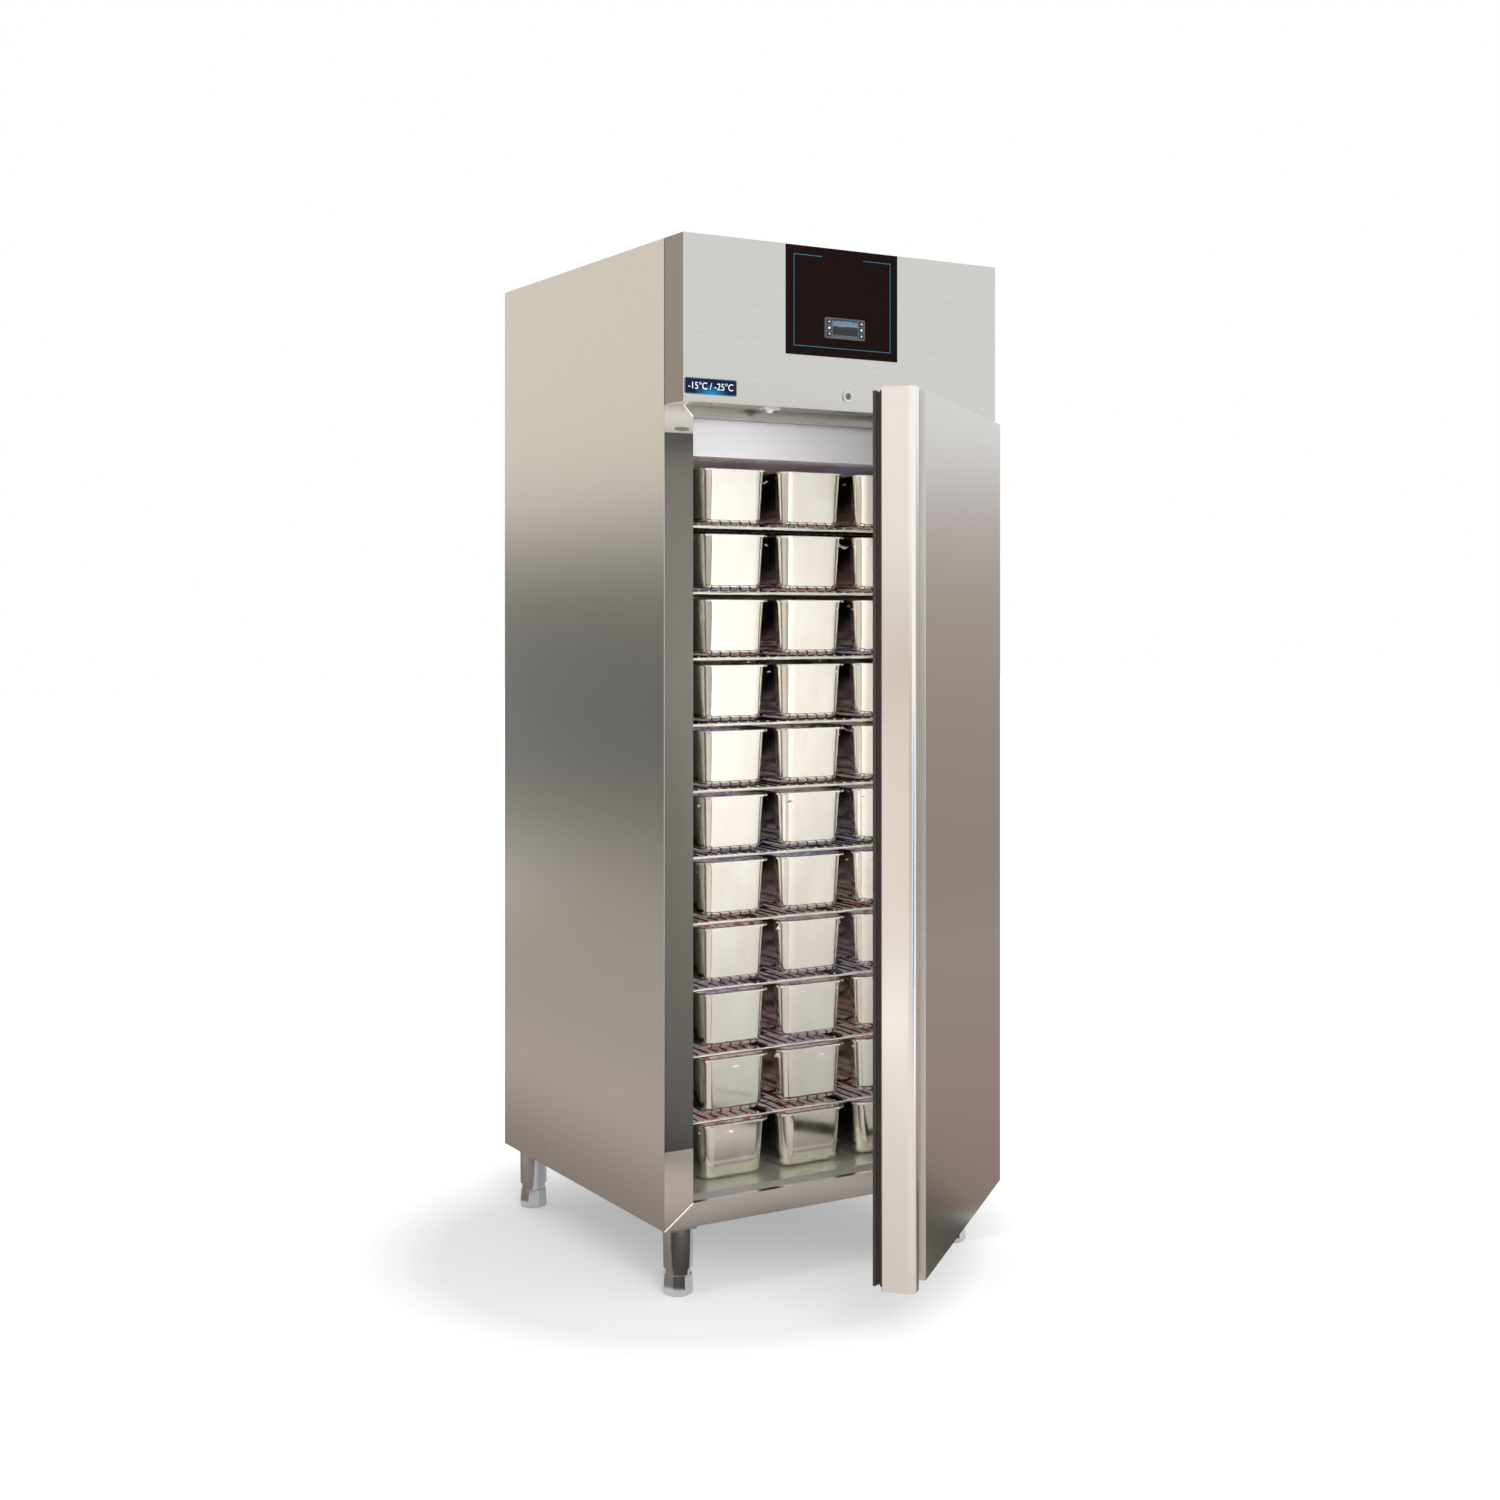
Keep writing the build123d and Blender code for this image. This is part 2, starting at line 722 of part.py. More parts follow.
def refrigerant_pipes():
    """Discharge, liquid and suction pipes, with the filter drier in the liquid pipe."""
    stub_x = compressor_x - compressor_radius - fit_gap
    low = condenser_z - pipe_row_offset
    high = condenser_z + pipe_row_offset
    coil_left = condenser_x - condenser_width / 2 - 2
    coil_right = condenser_x + condenser_width / 2 + 2
    rear_row = condenser_y + condenser_depth / 4
    discharge = bent_pipe(
        [
            (stub_x, compressor_y, high),
            (coil_right + 45, compressor_y, high),
            (coil_right + 45, rear_row, high),
            (coil_right + fit_gap, rear_row, high),
        ],
        pipe_radius,
        16,
    )
    drier_x = -right_x + 150
    drier_y = compressor_y - 20
    drier_start = drier_x - drier_length / 2
    drier_end = drier_x + drier_length / 2
    drier = rod_x(drier_start, drier_end, drier_y, low, drier_radius)
    drier = fillet(drier.edges().filter_by(GeomType.CIRCLE), drier_radius * 0.6)
    liquid = bent_pipe(
        [
            (coil_left - fit_gap, rear_row, low),
            (coil_left - 22, rear_row, low),
            (coil_left - 22, drier_y, low),
            (drier_start + 2, drier_y, low),
        ],
        pipe_radius,
        10,
    )
    capillary = bent_pipe(
        [
            (drier_end - 2, drier_y, low),
            (drier_end + 40, drier_y, low),
            (drier_end + 40, drier_y, deck_top + fit_gap),
        ],
        pipe_radius,
        14,
    )
    suction = bent_pipe(
        [
            (stub_x, compressor_y, low),
            (stub_x - 50, compressor_y, low),
            (stub_x - 50, compressor_y, deck_top + fit_gap),
        ],
        pipe_radius + 1,
        18,
    )
    return [discharge, drier.fuse(liquid, capillary), suction]


def fascia_panel():
    """Open-backed sheet box with the holes for the controller, lock and door switch."""
    shell = block(-right_x, right_x, fascia_front, fascia_back, fascia_bottom, body_top)
    shell -= block(
        -right_x + fascia_sheet,
        right_x - fascia_sheet,
        fascia_front + fascia_sheet,
        fascia_back + 1,
        fascia_bottom + fascia_sheet,
        body_top - fascia_sheet,
    )
    body = Pos(controller_shift, fascia_front, controller_z)
    shell -= body * Box(controller_width - 22 + 2, 20, controller_height - 12 + 2)
    shell -= rod_y(lock_shift, fascia_front - 1, fascia_front + 4, lock_z, lock_barrel_radius + fit_gap)
    slot_y = lock_back + cam_thickness / 2
    shell -= block(
        lock_shift - cam_width / 2 - 2,
        lock_shift + cam_length,
        slot_y - cam_thickness - 2,
        slot_y + cam_thickness + 2,
        fascia_bottom - 1,
        fascia_bottom + 2 * fascia_sheet,
    )
    shell -= Pos(switch_shift, switch_y, fascia_bottom) * Box(
        prong_width + 2 * switch_body_wall + 2 * fit_gap, prong_depth + switch_body_wall + 2 * fit_gap, 8
    )
    return shell


def control_glass():
    """Dark glass plate on the fascia, cut out behind the controller."""
    top = body_top - glass_top_margin
    plate = block(
        glass_shift - glass_width / 2,
        glass_shift + glass_width / 2,
        glass_front,
        fascia_front,
        top - glass_height,
        top,
    )
    return plate - Pos(controller_shift, fascia_front, controller_z) * Box(
        controller_width - 22 + 2, 20, controller_height - 12 + 2
    )


def key_places():
    """Name and middle of each key on the controller."""
    left = controller_shift - controller_width / 2 + key_margin
    right = controller_shift + controller_width / 2 - key_margin
    rows = (("top", key_pitch), ("middle", 0.0), ("bottom", -key_pitch))
    return [
        (f"key_{side}_{row}", x, controller_z + rise)
        for side, x in (("left", left), ("right", right))
        for row, rise in rows
    ]


def controller_bezel():
    """Controller front with its body behind the glass, a seat for the screen and one for each key."""
    face = Pos(controller_shift, glass_front - controller_thickness / 2, controller_z)
    face = face * Box(controller_width, controller_thickness, controller_height)
    face = fillet(face.edges().filter_by(Axis.Y), 3)
    back = glass_front + controller_body_depth
    body = block(
        controller_shift - (controller_width - 22) / 2,
        controller_shift + (controller_width - 22) / 2,
        glass_front,
        back,
        controller_z - (controller_height - 12) / 2,
        controller_z + (controller_height - 12) / 2,
    )
    bezel = face + body
    bezel -= Pos(controller_shift, bezel_front, screen_z) * Box(
        screen_width + 2 * fit_gap, 2 * (screen_thickness + fit_gap), screen_height + 2 * fit_gap
    )
    for _, x, z in key_places():
        bezel -= Pos(x, bezel_front, z) * Box(
            key_width + 2 * running_gap, 2 * key_seat_depth, key_height + 2 * running_gap
        )
    return bezel


def controller_screen():
    """Display plate in the bezel's seat."""
    middle_y = bezel_front + screen_thickness / 2
    return Pos(controller_shift, middle_y, screen_z) * Box(screen_width, screen_thickness, screen_height)


def controller_key(x, z):
    """One key with softened edges, standing a little proud of the bezel."""
    front = bezel_front - key_proud
    key = block(
        x - key_width / 2,
        x + key_width / 2,
        front,
        front + key_thickness,
        z - key_height / 2,
        z + key_height / 2,
    )
    key = fillet(key.edges().filter_by(Axis.Y), 2)
    return fillet(key.faces().sort_by(Axis.Y)[0].edges(), 0.5)


def temperature_label():
    """Thin plate with rounded corners at the fascia's lower left."""
    x = -right_x + label_margin + label_width / 2
    z = fascia_bottom + label_rise + label_height / 2
    plate = Pos(x, fascia_front - label_thickness / 2, z) * Box(label_width, label_thickness, label_height)
    return fillet(plate.edges().filter_by(Axis.Y), label_corner)


def lock_barrel():
    """Fixed lock body through the fascia, with its nut behind the sheet."""
    flange = rod_y(lock_shift, lock_front, fascia_front, lock_z, lock_flange_radius)
    flange = fillet(flange.edges().filter_by(GeomType.CIRCLE).sort_by(Axis.Y)[0], 1.2)
    body = rod_y(lock_shift, fascia_front, lock_back, lock_z, lock_barrel_radius)
    bore = rod_y(lock_shift, lock_front - 1, lock_back + 1, lock_z, lock_plug_radius + lock_clearance)
    nut_front = fascia_front + fascia_sheet
    nut = Pos(lock_shift, nut_front + 3, lock_z) * Rot(90, 0, 0) * extrude(RegularPolygon(13, 6), 3, both=True)
    nut -= rod_y(lock_shift, nut_front - 1, nut_front + 8, lock_z, lock_barrel_radius)
    return [flange + body - bore, nut]


def lock_plug():
    """Turning plug with its keyway, and the cam on its tail, shown unlocked."""
    front = lock_front + 0.5
    plug = rod_y(lock_shift, front, lock_back, lock_z, lock_plug_radius)
    plug -= Pos(lock_shift, front, lock_z) * Box(2, 12, 8)
    tail = rod_y(lock_shift, lock_back, lock_back + cam_thickness + 3, lock_z, lock_tail_radius)
    cam_front = lock_back + running_gap
    cam = block(
        lock_shift,
        lock_shift + cam_length - cam_width / 2,
        cam_front,
        cam_front + cam_thickness,
        lock_z - cam_width / 2,
        lock_z + cam_width / 2,
    )
    cam += rod_y(lock_shift, cam_front, cam_front + cam_thickness, lock_z, cam_width / 2)
    tip_x = lock_shift + cam_length - cam_width / 2
    cam += rod_y(tip_x, cam_front, cam_front + cam_thickness, lock_z, cam_width / 2)
    cam -= rod_y(lock_shift, cam_front - 1, cam_front + cam_thickness + 1, lock_z, lock_tail_radius)
    return [plug + tail, cam]


def switch_housing():
    """Door switch body through the fascia's underside, with a pocket for its prong."""
    flange = block(
        switch_shift - switch_flange_width / 2,
        switch_shift + switch_flange_width / 2,
        switch_y - switch_flange_depth / 2,
        switch_y + switch_flange_depth / 2,
        fascia_bottom - switch_flange_thickness,
        fascia_bottom,
    )
    flange = fillet(flange.edges().filter_by(Axis.Z), 3)
    body = Pos(switch_shift, switch_y, fascia_bottom + switch_body_height / 2) * Box(
        prong_width + 2 * switch_body_wall, prong_depth + switch_body_wall, switch_body_height
    )
    pocket_top = prong_top + prong_travel + prong_lead
    pocket = block(
        switch_shift - prong_width / 2 - running_gap,
        switch_shift + prong_width / 2 + running_gap,
        switch_y - prong_depth / 2 - running_gap,
        switch_y + prong_depth / 2 + running_gap,
        fascia_bottom - switch_flange_thickness - 1,
        pocket_top,
    )
    bore_top = fascia_bottom + switch_body_height - prong_lead
    bore = rod_z(switch_shift, switch_y, pocket_top - 1, bore_top, prong_stem_radius + running_gap)
    return flange + body - pocket - bore


def switch_plunger():
    """Sprung prong that the door pushes up, with its guide stem."""
    top_face = Plane.XY * Rectangle(prong_width, prong_depth)
    tip_face = Rectangle(prong_width * prong_tip_share, prong_depth * prong_tip_share)
    prong = loft([top_face, Plane.XY.offset(-prong_length) * tip_face])
    prong = fillet(prong.edges().group_by(Axis.Z)[0], 1)
    stem_height = fascia_bottom + switch_body_height - 2 * prong_lead - prong_travel - prong_top
    stem = rod_z(0, 0, 0, stem_height, prong_stem_radius)
    return Pos(switch_shift, switch_y, prong_top) * (prong + stem)


def door_outline():
    """Plan of the closed door: a bull-nosed free edge, a finger groove, and the flat main face."""
    nose_x = -right_x + nose_width
    main_x = nose_x + groove_width
    groove_y = door_outer_y + groove_depth
    outline = make_face(
        Polyline(
            (-right_x, door_inner_y),
            (right_x, door_inner_y),
            (right_x, door_outer_y),
            (main_x, door_outer_y),
            (main_x - groove_draft, groove_y),
            (nose_x, groove_y),
            (nose_x, door_outer_y),
            (-right_x, door_outer_y),
            close=True,
        )
    )
    rounds = (
        ((-right_x, door_outer_y), nose_radius),
        ((nose_x, door_outer_y), groove_radius),
        ((nose_x, groove_y), groove_radius),
        ((main_x - groove_draft, groove_y), groove_radius),
        ((main_x, door_outer_y), 2 * door_sheet),
        ((right_x, door_outer_y), 2 * door_sheet),
        ((right_x, door_inner_y), 2 * door_sheet),
        ((-right_x, door_inner_y), 2 * door_sheet),
    )
    for (x, y), radius in rounds:
        corner = outline.vertices().sort_by_distance((x, y, 0))[0]
        outline = fillet(corner, radius)
    return outline


def swing(shape):
    """Carry a piece of the closed door to the place where it stands open."""
    turn = Location((hinge_x, hinge_y, 0)) * Location((0, 0, 0), (0, 0, door_open_at_rest))
    return turn * Location((-hinge_x, -hinge_y, 0)) * shape


def door_shell():
    """The handle profile at the free edge, and the main skin round the rest of the door."""
    outline = door_outline()
    ring = outline - offset(outline, -door_sheet)
    wall = extrude(ring, door_top - door_bottom)
    wall = Pos(0, 0, door_bottom) * wall
    wall -= block(
        -right_x + door_flange,
        right_x - door_flange,
        door_inner_y - 2 * door_sheet,
        door_inner_y + 1,
        door_bottom - 1,
        door_top + 1,
    )
    seam = -right_x + nose_width + groove_width / 2
    outside = (door_outer_y - 1, door_inner_y + 1, door_bottom - 1, door_top + 1)
    left = block(-right_x - 1, seam - fit_gap, *outside)
    right = block(seam, right_x + 1, *outside)
    for x, y, half_x, half_y, drop in door_pockets():
        wall -= block(x - half_x, x + half_x, y - half_y, y + half_y, door_top - drop, door_top + 1)
    return wall & left, wall & right


def door_pockets():
    """Pockets in the door's top for the switch prong and the lock cam: middle, half sizes, depth."""
    reach = door_inner_y + 1 - (switch_y - prong_depth)
    cam_middle = lock_shift + cam_length / 2 - cam_width / 4
    prong_room = door_top - (prong_top - prong_length) + pocket_clearance
    cam_room = cam_drop + pocket_clearance
    return (
        (switch_shift, door_inner_y + 1 - reach / 2, prong_width, reach / 2, prong_room),
        (cam_middle, lock_back + cam_thickness, cam_length / 2 + 4, cam_thickness + 4, cam_room),
    )


def hinge_holes(extra):
    """Two round holes on the hinge axis, at the top and bottom of the door."""
    deep = hinge_pin_reach + 4 + extra
    radius = hinge_bush_radius + extra
    return [
        rod_z(hinge_x, hinge_y, door_top - deep, door_top + 1, radius),
        rod_z(hinge_x, hinge_y, door_bottom - 1, door_bottom + deep, radius),
    ]


def door_end_caps():
    """Plastic caps in the top and bottom ends of the door."""
    inside = offset(door_outline(), -door_sheet - fit_gap)
    recess = 0.5
    top = Pos(0, 0, door_top - recess - end_cap_thickness) * extrude(inside, end_cap_thickness)
    bottom = Pos(0, 0, door_bottom + recess) * extrude(inside, end_cap_thickness)
    for x, y, half_x, half_y, drop in door_pockets():
        top -= block(x - half_x, x + half_x, y - half_y, y + half_y, door_top - drop, door_top + 1)
    holes = hinge_holes(fit_gap / 2)
    return [top - holes[0], bottom - holes[1]]


def door_insulation():
    """Foam core of the door."""
    inside = offset(door_outline(), -door_sheet - fit_gap)
    low = door_bottom + end_cap_thickness + 1
    high = door_top - end_cap_thickness - 1
    core = Pos(0, 0, low) * extrude(inside, high - low)
    for hole in hinge_holes(fit_gap):
        core -= hole
    wall = 2
    for x, y, half_x, half_y, drop in door_pockets():
        core -= block(
            x - half_x - wall,
            x + half_x + wall,
            y - half_y - wall,
            y + half_y + wall,
            door_top - drop - wall,
            door_top + 1,
        )
    return core


def door_inner_panel():
    """Inner sheet between the skin's flanges, with a raised field."""
    half = right_x - door_flange - running_gap
    low = door_bottom + end_cap_thickness + 1
    high = door_top - end_cap_thickness - 1
    sheet = block(-half, half, door_inner_y - door_sheet, door_inner_y, low, high)
    field_half = right_x - panel_field_inset
    field_low = door_bottom + panel_field_inset
    field_high = door_top - panel_field_inset
    field = block(
        -field_half, field_half, door_inner_y - 0.5, door_inner_y + panel_field_rise, field_low, field_high
    )
    field = chamfer(field.faces().sort_by(Axis.Y)[-1].edges(), panel_field_rise * 0.7)
    hollow = block(
        -field_half + 10,
        field_half - 10,
        door_inner_y - 2 * door_sheet,
        door_inner_y + panel_field_rise - door_sheet,
        field_low + 10,
        field_high - 10,
    )
    panel = sheet + field - hollow
    for x, y, half_x, half_y, drop in door_pockets():
        panel -= block(x - half_x, x + half_x, y - half_y, y + half_y, door_top - drop, door_top + 1)
    return panel


def gasket_layer(trim, width, y0, y1):
    """One rectangular ring of the gasket's section; the hinge side stands further in, to swing clear."""
    left = -right_x + gasket_inset + trim
    right = right_x - gasket_hinge_inset - trim
    low = door_bottom + gasket_inset + trim
    high = door_top - gasket_inset - trim
    ring = block(left, right, y0, y1, low, high)
    return ring - block(left + width, right - width, y0 - 1, y1 + 1, low + width, high - width)


def door_gasket():
    """Ribbed magnetic gasket round the door: a foot, a narrow bellows and a flat head."""
    foot_y = door_inner_y + gasket_base
    head_y = door_inner_y + gasket_thickness - gasket_head
    rib = (head_y - foot_y) / 3
    foot = gasket_layer(0, gasket_width, door_inner_y, foot_y)
    neck = gasket_layer(gasket_waist, gasket_width - 2 * gasket_waist, foot_y, head_y)
    middle = gasket_layer(gasket_waist / 2, gasket_width - gasket_waist, foot_y + rib, foot_y + 2 * rib)
    head = gasket_layer(0, gasket_width, head_y, door_inner_y + gasket_thickness)
    return foot + neck + middle + head


def hinge_bushes():
    """Plastic bushes in the door for the two hinge pins."""
    radius = hinge_pin_radius + hinge_bush_clearance
    deep = hinge_pin_reach + 4
    upper = rod_z(hinge_x, hinge_y, door_top - deep, door_top, hinge_bush_radius)
    upper -= rod_z(hinge_x, hinge_y, door_top - deep - 1, door_top + 1, radius)
    lower = rod_z(hinge_x, hinge_y, door_bottom, door_bottom + deep, hinge_bush_radius)
    lower -= rod_z(hinge_x, hinge_y, door_bottom - 1, door_bottom + deep + 1, radius)
    return [upper, lower]


def upper_hinge():
    """Top hinge: an angle on the frame behind the fascia, with its pin down into the door."""
    plate_top = fascia_bottom - 0.8
    plate_low = plate_top - hinge_plate_thickness
    right = right_x - 4
    left = right - hinge_plate_width
    front = hinge_y - hinge_pin_radius - 10
    leg_front = front_y - (fascia_gap - 0.4)
    plate = block(left, right, front, front_y, plate_low, plate_top)
    plate = fillet(plate.edges().filter_by(Axis.Z).sort_by(Axis.Y)[:2], 8)
    leg = block(left, right, leg_front, front_y, plate_top, plate_top + upper_leg_height)
    pin = rod_z(hinge_x, hinge_y, door_top - hinge_pin_reach, plate_top, hinge_pin_radius)
    return plate + leg + pin


def lower_hinge():
    """Bottom hinge: an angle on the bottom rail, with its pin up into the door."""
    plate_top = door_bottom - 1.2
    plate_low = plate_top - hinge_plate_thickness
    right = right_x - 2
    left = right - hinge_plate_width
    front = hinge_y - hinge_pin_radius - 10
    plate = block(left, right, front, front_y, plate_low, plate_top)
    plate = fillet(plate.edges().filter_by(Axis.Z).sort_by(Axis.Y)[:2], 8)
    leg_top = door_bottom + gasket_inset - 2
    leg = block(left, right, front_y - hinge_leg_thickness, front_y, plate_top, leg_top)
    pin = rod_z(hinge_x, hinge_y, plate_low, door_bottom + hinge_pin_reach, hinge_pin_radius)
    collar = rod_z(hinge_x, hinge_y, plate_top, door_bottom - running_gap, hinge_bush_radius + 2)
    return plate + leg + pin + collar


def fascia_hinge(moving):
    """One leaf of each of the two hinges along the fascia's top edge; the fixed leaf carries the pin."""
    axis_z = body_top + fascia_knuckle_radius
    third = fascia_leaf_length / 3
    leaves = []
    for x in (-fascia_hinge_offset, fascia_hinge_offset):
        low = x - fascia_leaf_length / 2
        high = x + fascia_leaf_length / 2
        side = -1 if moving else 1
        near, far = sorted((hinge_line_y, hinge_line_y + side * fascia_leaf_width))
        leaf = block(low, high, near, far, body_top, body_top + fascia_leaf_sheet)
        spans = [(low, low + third), (high - third, high)]
        if moving:
            spans = [(low + third + running_gap, high - third - running_gap)]
        knuckles = [rod_x(start, end, hinge_line_y, axis_z, fascia_knuckle_radius) for start, end in spans]
        clear_radius = fascia_knuckle_radius + running_gap
        gaps = [(low, low + third), (high - third, high)] if moving else [(low + third, high - third)]
        for start, end in gaps:
            leaf -= rod_x(start - running_gap, end + running_gap, hinge_line_y, axis_z, clear_radius)
        leaf = leaf.fuse(*knuckles)
        pin_radius = fascia_knuckle_radius / 2
        if moving:
            leaf -= rod_x(low, high, hinge_line_y, axis_z, pin_radius + shaft_clearance)
        else:
            leaf = leaf + rod_x(low, high, hinge_line_y, axis_z, pin_radius)
        leaves.append(leaf)
    return leaves


def leg_places():
    """Middle of each leg, with its name."""
    return [
        ("front_left", left_leg_x, leg_front_y),
        ("front_right", right_leg_x, leg_front_y - right_leg_forward),
        ("back_left", left_leg_x, leg_back_y),
        ("back_right", right_leg_x, leg_back_y),
    ]


def leg_plate(x, y):
    """Mounting plate under the body, with its corners cut."""
    half = leg_plate_size / 2
    plate = block(x - half, x + half, y - half, y + half, plate_bottom, body_bottom)
    return chamfer(plate.edges().filter_by(Axis.Z), 8)


def leg_tube(x, y):
    """Fixed upper tube of a leg."""
    tube = rod_z(x, y, leg_lower_end, plate_bottom, leg_radius)
    return tube - rod_z(x, y, leg_lower_end - 1, plate_bottom - 6, leg_radius - leg_wall)


def octagon(radius, z):
    """An octagon with its flats that far from the middle."""
    return Plane.XY.offset(z) * RegularPolygon(radius, 8, major_radius=False)


def levelling_foot(x, y):
    """Screw-in foot: a sleeve inside the tube, a neck, and an eight-sided flared end."""
    sleeve_radius = leg_radius - leg_wall - running_gap
    sleeve = rod_z(0, 0, leg_lower_end + 2, leg_lower_end + 2 + foot_sleeve_length, sleeve_radius)
    neck = rod_z(0, 0, foot_neck_end, leg_lower_end + 2, foot_neck_radius)
    flare = loft([octagon(foot_waist_radius, foot_neck_end), octagon(foot_flare_radius, foot_flare_height)])
    base = loft([octagon(foot_flare_radius, foot_flare_height), octagon(foot_base_radius, 0)])
    stem_top = plate_bottom - 8
    stem = rod_z(0, 0, leg_lower_end + foot_sleeve_length, stem_top, foot_stem_radius)
    return Pos(x, y, 0) * (sleeve + neck + flare + base + stem)


def pan_head():
    """A cross-slotted screw head standing on Z = 0."""
    head = Pos(0, 0, 1.2) * Cylinder(4, 2.4)
    head = fillet(head.edges().group_by(Axis.Z)[-1], 1.2)
    head -= Pos(0, 0, 2.4) * Box(5, 1, 1.4)
    head -= Pos(0, 0, 2.4) * Box(1, 5, 1.4)
    return head.solids()[0]


def panel_screws():
    """Screws round the back panel and under the leg plates."""
    head = pan_head()
    screws = []
    for x in (-right_x + 20, 0, right_x - 20):
        for z in (body_bottom + 20, (body_bottom + box_top) / 2, box_top, body_top - 20):
            screws.append(head.moved(Location((x, back_y, z), (-90, 0, 0))))
    reach = leg_radius + 6
    for _, x, y in leg_places():
        for side_x in (-1, 1):
            for side_y in (-1, 1):
                place = (x + side_x * reach * 0.7, y + side_y * reach * 0.7, plate_bottom)
                screws.append(head.moved(Location(place, (180, 0, 0))))
    return screws


def fascia_screws():
    """Two screws in the fascia's underside."""
    head = pan_head()
    y = fascia_front + 12
    return [
        head.moved(Location((x, y, fascia_bottom), (180, 0, 0)))
        for x in (-right_x + 75, -right_x + 520)
    ]


# Places that several pieces share
box_x_middle = -right_x + 140
gland_z = deck_top + 50
evaporator_fan_z = ceiling_z - evaporator_fan_drop
evaporator_coil_y = liner_back - coil_thickness / 2 - fit_gap
evaporator_fan_y = rear_duct_y + duct_sheet + shroud_depth / 2 + shroud_sheet / 2 + fit_gap
condenser_x = -right_x + condenser_inset + condenser_width / 2
condenser_y = front_y + outer_sheet + 14 + condenser_depth / 2
condenser_z = deck_top + 6 + condenser_height / 2
condenser_fan_y = condenser_y + condenser_depth / 2 + shroud_depth / 2 + shroud_sheet / 2 + fit_gap
screen_z = controller_z + screen_rise
key_seat_depth = key_thickness - key_proud + key_travel + 0.4
prong_top = fascia_bottom - switch_flange_thickness + prong_lead
cam_drop = door_top - (lock_z - cam_length)
hinge_line_y = front_y - fascia_gap / 2

save("side_panel_left", side_panel(-1))
save("side_panel_right", side_panel(1))
save("back_panel", back_panel())
save("base_panel", base_panel())
save("top_cover", top_cover())
save("machine_deck", machine_deck())
frame_stile_pieces, frame_rail_pieces = front_frame()
save("frame_stiles", *frame_stile_pieces)
save("frame_rails", *frame_rail_pieces)
save("thermal_break", *thermal_break())
save("liner_tub", liner_tub())
save("insulation", *insulation())
save("shelf_racks", *shelf_racks())
save("wire_shelves", *wire_shelves())
one_pan = ice_cream_pan().solids()[0]
save("ice_cream_pans", *[one_pan.moved(place) for place in pan_places()])
one_filling = pan_filling().solids()[0]
save("ice_cream_fillings", *[one_filling.moved(place) for place in pan_places()])
save("air_duct_cover", air_duct_cover())
save("rear_duct_panel", rear_duct_panel())
evaporator_place = Pos(0, evaporator_coil_y, ceiling_z - coil_drop - coil_height / 2)
save("evaporator_coil", evaporator_place * finned_coil(coil_width, coil_height, coil_thickness))
evaporator_fan_place = Pos(0, evaporator_fan_y, evaporator_fan_z)
evaporator_motor = fan_motor_part(
    evaporator_fan_radius, shroud_depth, evaporator_plate, evaporator_plate_height
)
save("evaporator_fan_motor", evaporator_fan_place * evaporator_motor)
save("evaporator_fan_blade", evaporator_fan_place * fan_blades_part(evaporator_fan_radius))
save("compressor", *compressor())
condenser_place = Pos(condenser_x, condenser_y, condenser_z)
save("condenser_coil", condenser_place * finned_coil(condenser_width, condenser_height, condenser_depth))
condenser_fan_place = Pos(condenser_x, condenser_fan_y, condenser_z)
save(
    "condenser_fan_shroud",
    condenser_fan_place * fan_motor_part(condenser_fan_radius, shroud_depth, condenser_width, condenser_height),
)
save("condenser_fan_blade", condenser_fan_place * fan_blades_part(condenser_fan_radius))
save("refrigerant_pipes", *refrigerant_pipes())
save("electrical_box", electrical_box())
save("fascia_panel", fascia_panel())
save("control_glass", control_glass())
save("controller_bezel", controller_bezel())
save("controller_screen", controller_screen())
for key_name, key_x, key_z in key_places():
    save(key_name, controller_key(key_x, key_z))
save("temperature_label", temperature_label())
save("lock_barrel", *lock_barrel())
save("lock_plug", *lock_plug())
save("switch_housing", switch_housing())
save("switch_plunger", switch_plunger())
save("fascia_hinge_fixed_leaf", *fascia_hinge(False))
save("fascia_hinge_moving_leaf", *fascia_hinge(True))
save("fascia_screws", *fascia_screws())
handle_profile, main_skin = door_shell()
save("door_handle_profile", swing(handle_profile))
save("door_skin", swing(main_skin))
save("door_end_caps", *[swing(cap) for cap in door_end_caps()])
save("door_insulation", swing(door_insulation()))
save("door_inner_panel", swing(door_inner_panel()))
save("door_gasket", swing(door_gasket()))
save("hinge_bushes", *[swing(bush) for bush in hinge_bushes()])
save("upper_hinge", upper_hinge())
save("lower_hinge", lower_hinge())
save("leg_plates", *[leg_plate(x, y) for _, x, y in leg_places()])
save("leg_tubes", *[leg_tube(x, y) for _, x, y in leg_places()])
for leg_name, foot_x, foot_y in leg_places():
    save(f"foot_{leg_name}", levelling_foot(foot_x, foot_y))
save("panel_screws", *panel_screws())
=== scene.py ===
import math

import bmesh
import bpy
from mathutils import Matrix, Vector


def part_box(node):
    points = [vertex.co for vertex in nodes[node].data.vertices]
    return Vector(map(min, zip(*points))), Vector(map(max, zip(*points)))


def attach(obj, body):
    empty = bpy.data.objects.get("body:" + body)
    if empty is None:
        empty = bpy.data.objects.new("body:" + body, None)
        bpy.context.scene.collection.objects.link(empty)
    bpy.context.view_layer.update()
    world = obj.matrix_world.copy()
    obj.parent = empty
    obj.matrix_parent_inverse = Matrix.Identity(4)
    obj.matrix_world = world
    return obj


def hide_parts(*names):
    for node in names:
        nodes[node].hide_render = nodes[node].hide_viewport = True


bl_info = {
    "name": "Commercial freezer finish",
    "version": (1, 0, 0),
    "blender": (4, 5, 0),
    "location": "View3D > Sidebar > Freezer",
    "description": "Finishes, trim and contents for the commercial upright freezer",
    "category": "Object",
}

